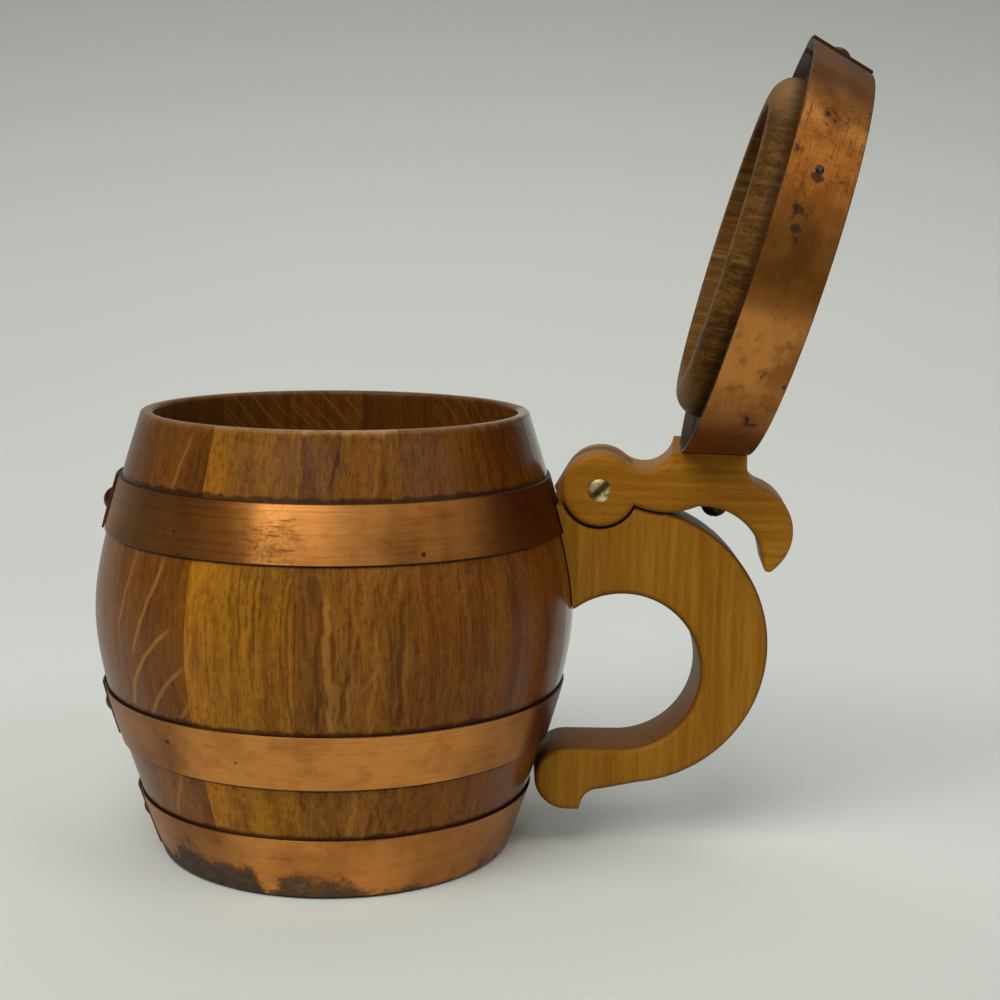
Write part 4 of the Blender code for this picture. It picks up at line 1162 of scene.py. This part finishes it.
def copper(name, offset, dull, speckle=0.0, marks=(), crusts=(), rubbed_and_highlit=(), red=(), tarnish=1.0, brushed=1.0):
    """Worn copper strip with clouds of tarnish, scratches along it, dark marks and burnt crust, painted
    shade, painted reflections and a painted highlight by angle round it, and painted shade on its edges and
    inner face.

    Angles are in degrees round the barrel or the lid from the front. Dull spans paint tarnish with painted
    shade and painted dark reflections, and red spans a painted dark red reflection on a red-brown patina;
    both are (start, end, soft edge, strength). Rubbed spans, worn and with a painted highlight, are (start,
    end, soft edge, brightness, scratches).
    Marks are (angle, height, radius, strength). Crusts climb from the lower edge and are
    (start, end, height, strength).
    """
    g = Graph(name)
    where = g.place()
    spot = g.mapping(where, offset=offset)
    x, y, up = g.axes(where)
    angle = g.math("DEGREES", g.math("ARCTAN2", x, y * -1.0))
    lines = g.noise(spot, (16, 16, 1500), 4, 0.65)
    clouds = g.noise(spot, (42, 42, 60), 6, 0.62)
    mottle = g.noise(spot, (210, 210, 260), 4, 0.6)
    grit = g.noise(spot, (900, 900, 900), 3, 0.6)
    g.colour = g.mix(clouds.rise(0.44, 0.66) * (0.35 * tarnish), COPPER, BROWN_COPPER)
    g.paint(mottle.rise(0.48, 0.74) * (0.25 * tarnish), BROWN_COPPER)
    g.paint(lines.rise(0.5, 0.72) * (0.25 * brushed), BROWN_COPPER)
    streaked_tarnish_and_shade = g.mix(lines.rise(0.42, 0.62) * brushed, shade(BROWN_COPPER, 0.9), shade(BROWN_COPPER, 0.6))
    # Painted shade and dark reflections, with tarnish, in the dull spans.
    for *reach, strength in dull:
        g.paint(angle.between(*reach) * (clouds * 0.6 + 0.55) * strength, streaked_tarnish_and_shade)
    # Painted dark red reflection on a red-brown patina in the red spans.
    for *reach, strength in red:
        g.paint(angle.between(*reach) * strength, RED_PATINA_AND_SHADE)
    scruff = (mottle * 0.35 + clouds * 0.25 + grit * 0.4).rise(0.48, 0.60)
    scratches = g.noise(spot, (110, 110, 1900), 4, 0.65).rise(0.54, 0.66)
    # Rubbed spans: a painted highlight, with worn scratches over it.
    for *reach, bright, strength in rubbed_and_highlit:
        part = angle.between(*reach)
        g.paint(part * bright, RUBBED_COPPER_HIGHLIGHT)
        g.paint(part * (scruff * 0.6).most(scratches) * strength, shade(BROWN_COPPER, 0.7))
    specks = grit.rise(0.64, 0.72) * clouds.rise(0.42, 0.58)
    blots = mottle.rise(0.60, 0.68) * clouds.rise(0.48, 0.6)
    dark = specks.most(blots) * speckle
    for place, at, reach, strength in marks:
        off = g.distance((angle - place) * radians(MARK_RADIUS), up - at) + (grit - 0.5) * reach
        dark = dark.most(off.fall(reach * 0.5, reach) * strength)
    ragged = up - (clouds - 0.5) * 0.016 - (mottle - 0.5) * 0.012 - (grit - 0.5) * 0.004
    burnt = halo = 0.0
    for *reach, height, strength in crusts:
        over = ragged - angle.between(*reach, CRUST_SOFT) * (height + CRUST_DROP) + CRUST_DROP
        burnt = (over.fall(-0.0024, 0.0014) * strength).most(burnt)
        halo = (over.fall(-0.0005, 0.0026) * strength).most(halo)
    g.paint(halo * 0.5, shade(BROWN_COPPER, 0.75))
    g.paint(burnt, g.mix((grit * 0.5 + mottle * 0.5).rise(0.44, 0.6), CRUST, ASH))
    g.paint(dark, CRUST)
    # Grime with painted shade on the edges that face up and down.
    g.paint(abs(g.axes(g.here["Normal"])[2]).rise(0.36, 0.55) * 0.85, COPPER_EDGE_GRIME_AND_SHADE)
    # Painted shade on the inner face.
    g.paint(1.0 - g.outward(), COPPER_INSIDE_SHADE)
    g.feed(g.shader.inputs["Metallic"], 1.0 - (dark * 0.3).most(burnt * 0.85))
    rough = clouds * 0.10 + lines * 0.08 + dark.most(burnt) * 0.3 + 0.33
    height = lines * 0.25 + clouds * 0.9 + mottle * 0.35 + grit * burnt * 1.5
    return g.finish(rough, height, 0.0002, 0.35)


def pale_hardwood(name, offset, turn, edge_grain_and_painted_light, gain=1.0):
    """Golden hardwood board: straight grain with short dark flecks, and its side faces in a given colour that
    stands for their end grain together with painted light and shade.
    """
    g = Graph(name)
    spot = g.place(offset, turn)
    bands = g.noise(spot, (60, 60, 9), 3, 0.5, 0.3)
    grain = g.noise(spot, (560, 560, 26), 4, 0.6)
    flecks = g.noise(spot, (2100, 2100, 330), 2).rise(0.57, 0.69)
    flecks = flecks.most(g.noise(spot, (1500, 1500, 110), 2).rise(0.60, 0.74))
    tone = (grain * 0.5 + bands * 0.5).rise(0.36, 0.64)
    g.colour = g.mix(tone, shade(linear(128, 80, 14), gain), shade(linear(150, 103, 28), gain))
    g.paint(flecks * 0.30, linear(92, 52, 8))
    # Side faces: end grain with painted light and shade, in the given colour.
    edge = abs(g.axes(g.here["Normal"])[1]).fall(0.45, 0.97)
    g.paint(edge * (grain * 0.7 + 0.35), edge_grain_and_painted_light)
    height = grain * 0.5 + (1.0 - flecks) * 0.4
    return g.finish(grain * 0.14 + 0.36, height, 0.0001, 0.4, specular_ior_level=0.05, **BOARD_VARNISH)


def metal(name, bright, dull, roughness, slot_turn=None):
    """Worn fastener metal, clouded and finely scratched, with grime and painted shade in a driver slot turned
    about Z.
    """
    g = Graph(name)
    spot = g.place()
    clouds = g.noise(spot, (500, 500, 500), 5, 0.6)
    scratches = g.noise(spot, (6000, 400, 400), 2)
    g.colour = g.mix(clouds.rise(0.42, 0.62), bright, dull)
    if slot_turn is not None:
        x, y, _ = g.axes(spot)
        across = x * cos(slot_turn) + y * sin(slot_turn)
        # Grime with painted shade in the driver slot.
        g.paint(abs(across).fall(*SLOT_GRIME_AND_SHADE_SPAN) * 0.85, SLOT_GRIME_AND_SHADE)
    rough = clouds * 0.2 + scratches * 0.1 + roughness
    return g.finish(rough, clouds + scratches * 0.5, 0.0001, 0.3, metallic=1.0)


def paper():
    """Pale paper of the sweep with painted shade: darker in front of the mug and towards the top of the wall.
    """
    g = Graph("studio_paper")
    _, y, z = g.axes(g.node("NewGeometry", {})["Position"])
    fibre = g.noise(g.place(), (400, 400, 400), 4)
    drift = g.noise(g.place(), (3, 3, 3), 2)
    # Painted light falloff: lighter on the floor behind the mug, with painted shade in front of it and
    # towards the top of the wall.
    g.colour = g.mix(y.rise(-0.3, 0.15), PAPER_LOW, PAPER_MIDDLE)
    g.paint(y.fall(-0.8, -0.3), PAPER_FRONT_SHADE)
    g.paint(z.rise(0.08, 0.6), PAPER_TOP_SHADE)
    g.paint(fibre * 0.05, shade(PAPER_TOP_SHADE, 0.7))
    g.paint(drift * 0.1, shade(PAPER_LOW, 0.8))
    return g.finish(0.9, fibre, 0.0001, 0.1, specular_ior_level=0.1)


RAYS_13 = (
    (0.0763, 0.0966, -0.0124, 0.27, 0, 0.0009, 0.40),
    (0.0700, 0.0960, -0.0046, 0.385, 0, 0.0011, 0.50),
    (0.0534, 0.0784, -0.0089, 0.244, 20.5, 0.0013, 0.55),
    (0.0530, 0.0690, 0.0004, 0.60, 23, 0.0012, 0.50),
    (0.0525, 0.0590, 0.0110, 0.80, 0, 0.0011, 0.40),
    (0.1150, 0.1310, 0.0018, 0.25, 0, 0.0009, 0.45),
    (0.0210, 0.0350, -0.0010, 0.35, 8, 0.0011, 0.35),
)
WAVES_01 = (
    (0.0500, 0.0900, -0.0060, -0.04, 0, 0.0013, 0.45),
    (0.0480, 0.0680, -0.0028, -0.12, 0, 0.0013, 0.35),
    (0.0540, 0.0960, -0.0012, 0.02, 0, 0.0010, 0.25),
    (0.0520, 0.0820, 0.0046, 0.03, 0, 0.0011, 0.25),
    (0.0640, 0.0720, 0.0010, 0.75, -20, 0.0011, 0.25),
    (0.0200, 0.0360, -0.0010, 0.25, -9, 0.0012, 0.35),
    (0.1150, 0.1310, 0.0060, 0.10, 0, 0.0010, 0.35),
)
CRACKS_01 = (
    (0.0540, 0.0900, 0.0120, 0.03, 0, 0.0013, 0.55),
    (0.0600, 0.0800, 0.0100, 0.05, 0, 0.0010, 0.40),
    (0.0560, 0.0950, -0.0098, 0.02, 0, 0.0011, 0.40),
    (0.1180, 0.1290, -0.0070, 0.42, 0, 0.0008, 0.60),
    (0.0540, 0.0720, -0.0040, 0.10, 0, 0.0009, 0.40),
)
CRACKS_14 = tuple((low, 0.0975, place, 0, 0, 0.0005, strength) for low, place, strength in (
    (0.0850, -0.0020, 0.35), (0.0790, 0.0005, 0.45), (0.0830, 0.0028, 0.40), (0.0760, 0.0049, 0.50),
    (0.0820, 0.0068, 0.35), (0.0700, 0.0128, 0.40), (0.0560, 0.0145, 0.45),
))
RAYS_BACK = tuple((0.1100, 0.1330, place, slope, 0, 0.0007, 0.38) for place, slope in (
    (-0.0240, 0.85), (-0.0195, 0.95), (-0.0165, 0.80), (-0.0120, 0.90),
    (-0.0085, 1.00), (-0.0040, 0.85), (0.0005, 0.95), (0.0050, 0.80),
))
BACK_LOOKS = (
    dict(light=(118, 70, 18), dark=(86, 46, 10), rays=1.0, tilt=38),
    dict(light=(128, 78, 20), dark=(92, 50, 10), rays=0.5, tilt=34, inner_rays=RAYS_BACK),
    dict(light=(122, 74, 20), dark=(88, 48, 10), rays=0.5, tilt=-36, inner_rays=RAYS_BACK),
)
STAVE_LOOKS = {
    11: dict(light=(116, 70, 22), dark=(86, 48, 14), rays=0.5),
    12: dict(light=(122, 72, 12), dark=(90, 49, 6), rays=0.25, rays_at=RAYS_13),
    13: dict(
        light=(150, 98, 18), dark=(108, 65, 9), rays=0.1, wear=0.4, cracks_at=CRACKS_14,
        pale=((-0.0170, -0.0070, 0.0030, 0.9), (0.0085, 0.0120, 0.0015, 0.4)),
    ),
    0: dict(
        light=(128, 79, 17), dark=(88, 49, 8), rays=0.3, figure=0.45, wear=1.0, wobble=0.0010,
        knots=((-0.0036, 0.1262, 0.0030), (-0.0055, 0.1222, 0.0016), (0.0020, 0.1190, 0.0010)),
        rays_at=WAVES_01, cracks_at=CRACKS_01,
    ),
    1: dict(light=(120, 70, 12), dark=(86, 44, 6), rays=0.1, figure=0.1),
    2: dict(light=(112, 60, 12), dark=(80, 40, 6), rays=0.2, coat=SEMI_VARNISH),
    3: dict(**BACK_LOOKS[0], coat=CLEAR_VARNISH),
}
# Dull spans are tarnish with painted shade and painted dark reflections, red spans a painted dark red
# reflection on patina, and rubbed spans wear with a painted highlight.
HOOP_LOOKS = {
    "upper": dict(
        offset=(0.3, 0.1, 0.0), speckle=0.25, rubbed_and_highlit=((-18, -3, 3, 0.1, 0.85),), red=((47, 130, 8, 0.6),),
        dull=(
            (-200, -13.5, 3, 0.85), (-36, -14.5, 3, 0.62), (-8, 18, 5, 0.35), (17, 34, 3.5, 0.75),
            (30, 200, 9, 0.85), (66, 140, 7, 0.6),
        ),
        marks=((25.2, 0.1009, 0.0009, 1.0), (-35.6, 0.1050, 0.0010, 0.9), (-33, 0.0985, 0.0016, 0.9)),
    ),
    "middle": dict(
        offset=(0.7, 0.2, 0.4), red=((60, 130, 4, 0.7),),
        dull=((-200, -34, 6, 0.85), (38, 200, 8, 0.6), (60, 200, 3, 0.51)),
        marks=((-38.2, 0.0455, 0.0009, 0.8), (-18.7, 0.0430, 0.0006, 0.6)),
    ),
    "bottom": dict(
        offset=(1.1, 0.5, 0.2), speckle=0.1,
        dull=((-200, -24, 8, 0.65), (10, 200, 8, 0.12), (26, 200, 10, 0.5), (150, 200, 15, 0.16)),
        crusts=(
            (-76, -48, 0.0066, 0.95), (-54, -16, 0.0092, 0.95), (-16, 16, 0.0040, 0.9),
            # The last crust darkens the whole lower edge of the hoop.
            (-200, 200, 0.0010, 0.9),
        ),
    ),
}
BAND_LOOK = dict(
    offset=(0.2, 0.9, 0.6), speckle=1.0, rubbed_and_highlit=((-46, -16, 6, 0.0, 1.0),), tarnish=1.9, brushed=0.35,
    dull=(
        (-200, -66, 7, 0.8), (-200, -53, 4, 0.7), (-62, -18, 7, 0.5), (-37, -12, 4, 0.9), (-14, 13, 7, 0.8),
        (0, 13.5, 3, 0.62), (16, 56, 5, 0.28), (37, 200, 5, 0.45), (45, 200, 3, 0.45), (54, 200, 5, 0.8),
    ),
    marks=((-22, 0.0056, 0.0022, 0.8), (-8, 0.0040, 0.0020, 0.9)),
)


def make_backdrop():
    """Paper sweep: a floor that curves up into a wall behind the mug."""
    profile = [(-SWEEP_REACH, 0.0), (-SWEEP_START, 0.0), (SWEEP_START, 0.0)]
    for angle in levels(-pi / 2, 0.0, SWEEP_STEPS)[1:]:
        profile.append(polar((SWEEP_START, SWEEP_RADIUS), SWEEP_RADIUS, angle))
    profile.append((SWEEP_START + SWEEP_RADIUS, SWEEP_REACH))
    bm = bmesh.new()
    rows = [[bm.verts.new((x, y, z)) for x in (-SWEEP_REACH, SWEEP_REACH)] for y, z in profile]
    for row, following in zip(rows, rows[1:]):
        bm.faces.new((row[0], row[1], following[1], following[0]))
    sweep = new_object("studio_sweep", bm, Matrix.Translation((0.0, 0.0, -SWEEP_DROP)))
    sweep.data.materials.append(paper())
    sweep.data.shade_smooth()


def make_light(name, place, size, power, colour):
    data = bpy.data.lights.new(name, "AREA")
    data.shape = "RECTANGLE"
    data.size, data.size_y = size
    data.energy = power
    data.color = colour
    facing = (Vector(MUG_MIDDLE) - Vector(place)).to_track_quat("-Z", "Y").to_matrix().to_4x4()
    add_object(name, data, Matrix.Translation(place) @ facing)


def make_camera():
    data = bpy.data.cameras.new("camera")
    data.lens = CAMERA_LENS
    tilt = Matrix.Rotation(pi / 2 - CAMERA_DROP, 4, "X")
    roll = Matrix.Rotation(CAMERA_ROLL, 4, "Z")
    matrix = Matrix.Translation(CAMERA_PLACE) @ tilt @ roll
    bpy.context.scene.camera = add_object("camera", data, matrix)


def make_world():
    world = bpy.data.worlds.new("studio")
    world.use_nodes = True
    background = world.node_tree.nodes["Background"]
    background.inputs["Color"].default_value = WORLD_COLOUR
    background.inputs["Strength"].default_value = WORLD_STRENGTH
    bpy.context.scene.world = world


def build():
    still, upright = (0, 0, 0), (0, pi / 2, 0)
    for number in range(STAVE_COUNT):
        look = STAVE_LOOKS.get(number, BACK_LOOKS[number % len(BACK_LOOKS)])
        make_stave(number, stave_oak(number, **look))
    make_head(head_oak())
    for name, look in HOOP_LOOKS.items():
        make_hoop(f"{name}_hoop", copper(f"copper_{name}", **look))
    # The handle's side faces are painted dark: end grain with painted shade.
    make_handle(pale_hardwood("hardwood_handle", (0.1, 0.2, 0.3), still, linear(82, 45, 10), 0.93))
    # Painted light: the lever's side faces are painted pale.
    make_lever(pale_hardwood("hardwood_lever", (0.5, 0.1, 0.7), upright, linear(140, 94, 34), 1.15))
    steel = metal("dark_steel", linear(74, 66, 56), linear(38, 32, 28), 0.35)
    make_pivot_screw(metal("worn_brass", linear(236, 210, 156), linear(140, 114, 62), 0.16, PIVOT_SLOT_TURN))
    make_lid_screw(steel)
    make_lid(lid_oak(), copper("copper_lid", **BAND_LOOK), steel)
    dowel_wood = pale_hardwood("hardwood_dowel", (0.9, 0.3, 0.1), upright, linear(120, 76, 24))
    for name in ("handle_dowel_lower", "handle_dowel_upper"):
        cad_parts[name].material_slots[0].material = dowel_wood
    make_backdrop()
    for light in LIGHTS:
        make_light(*light)
    make_world()
    make_camera()
    bpy.context.scene.view_settings.view_transform = "Standard"


build()
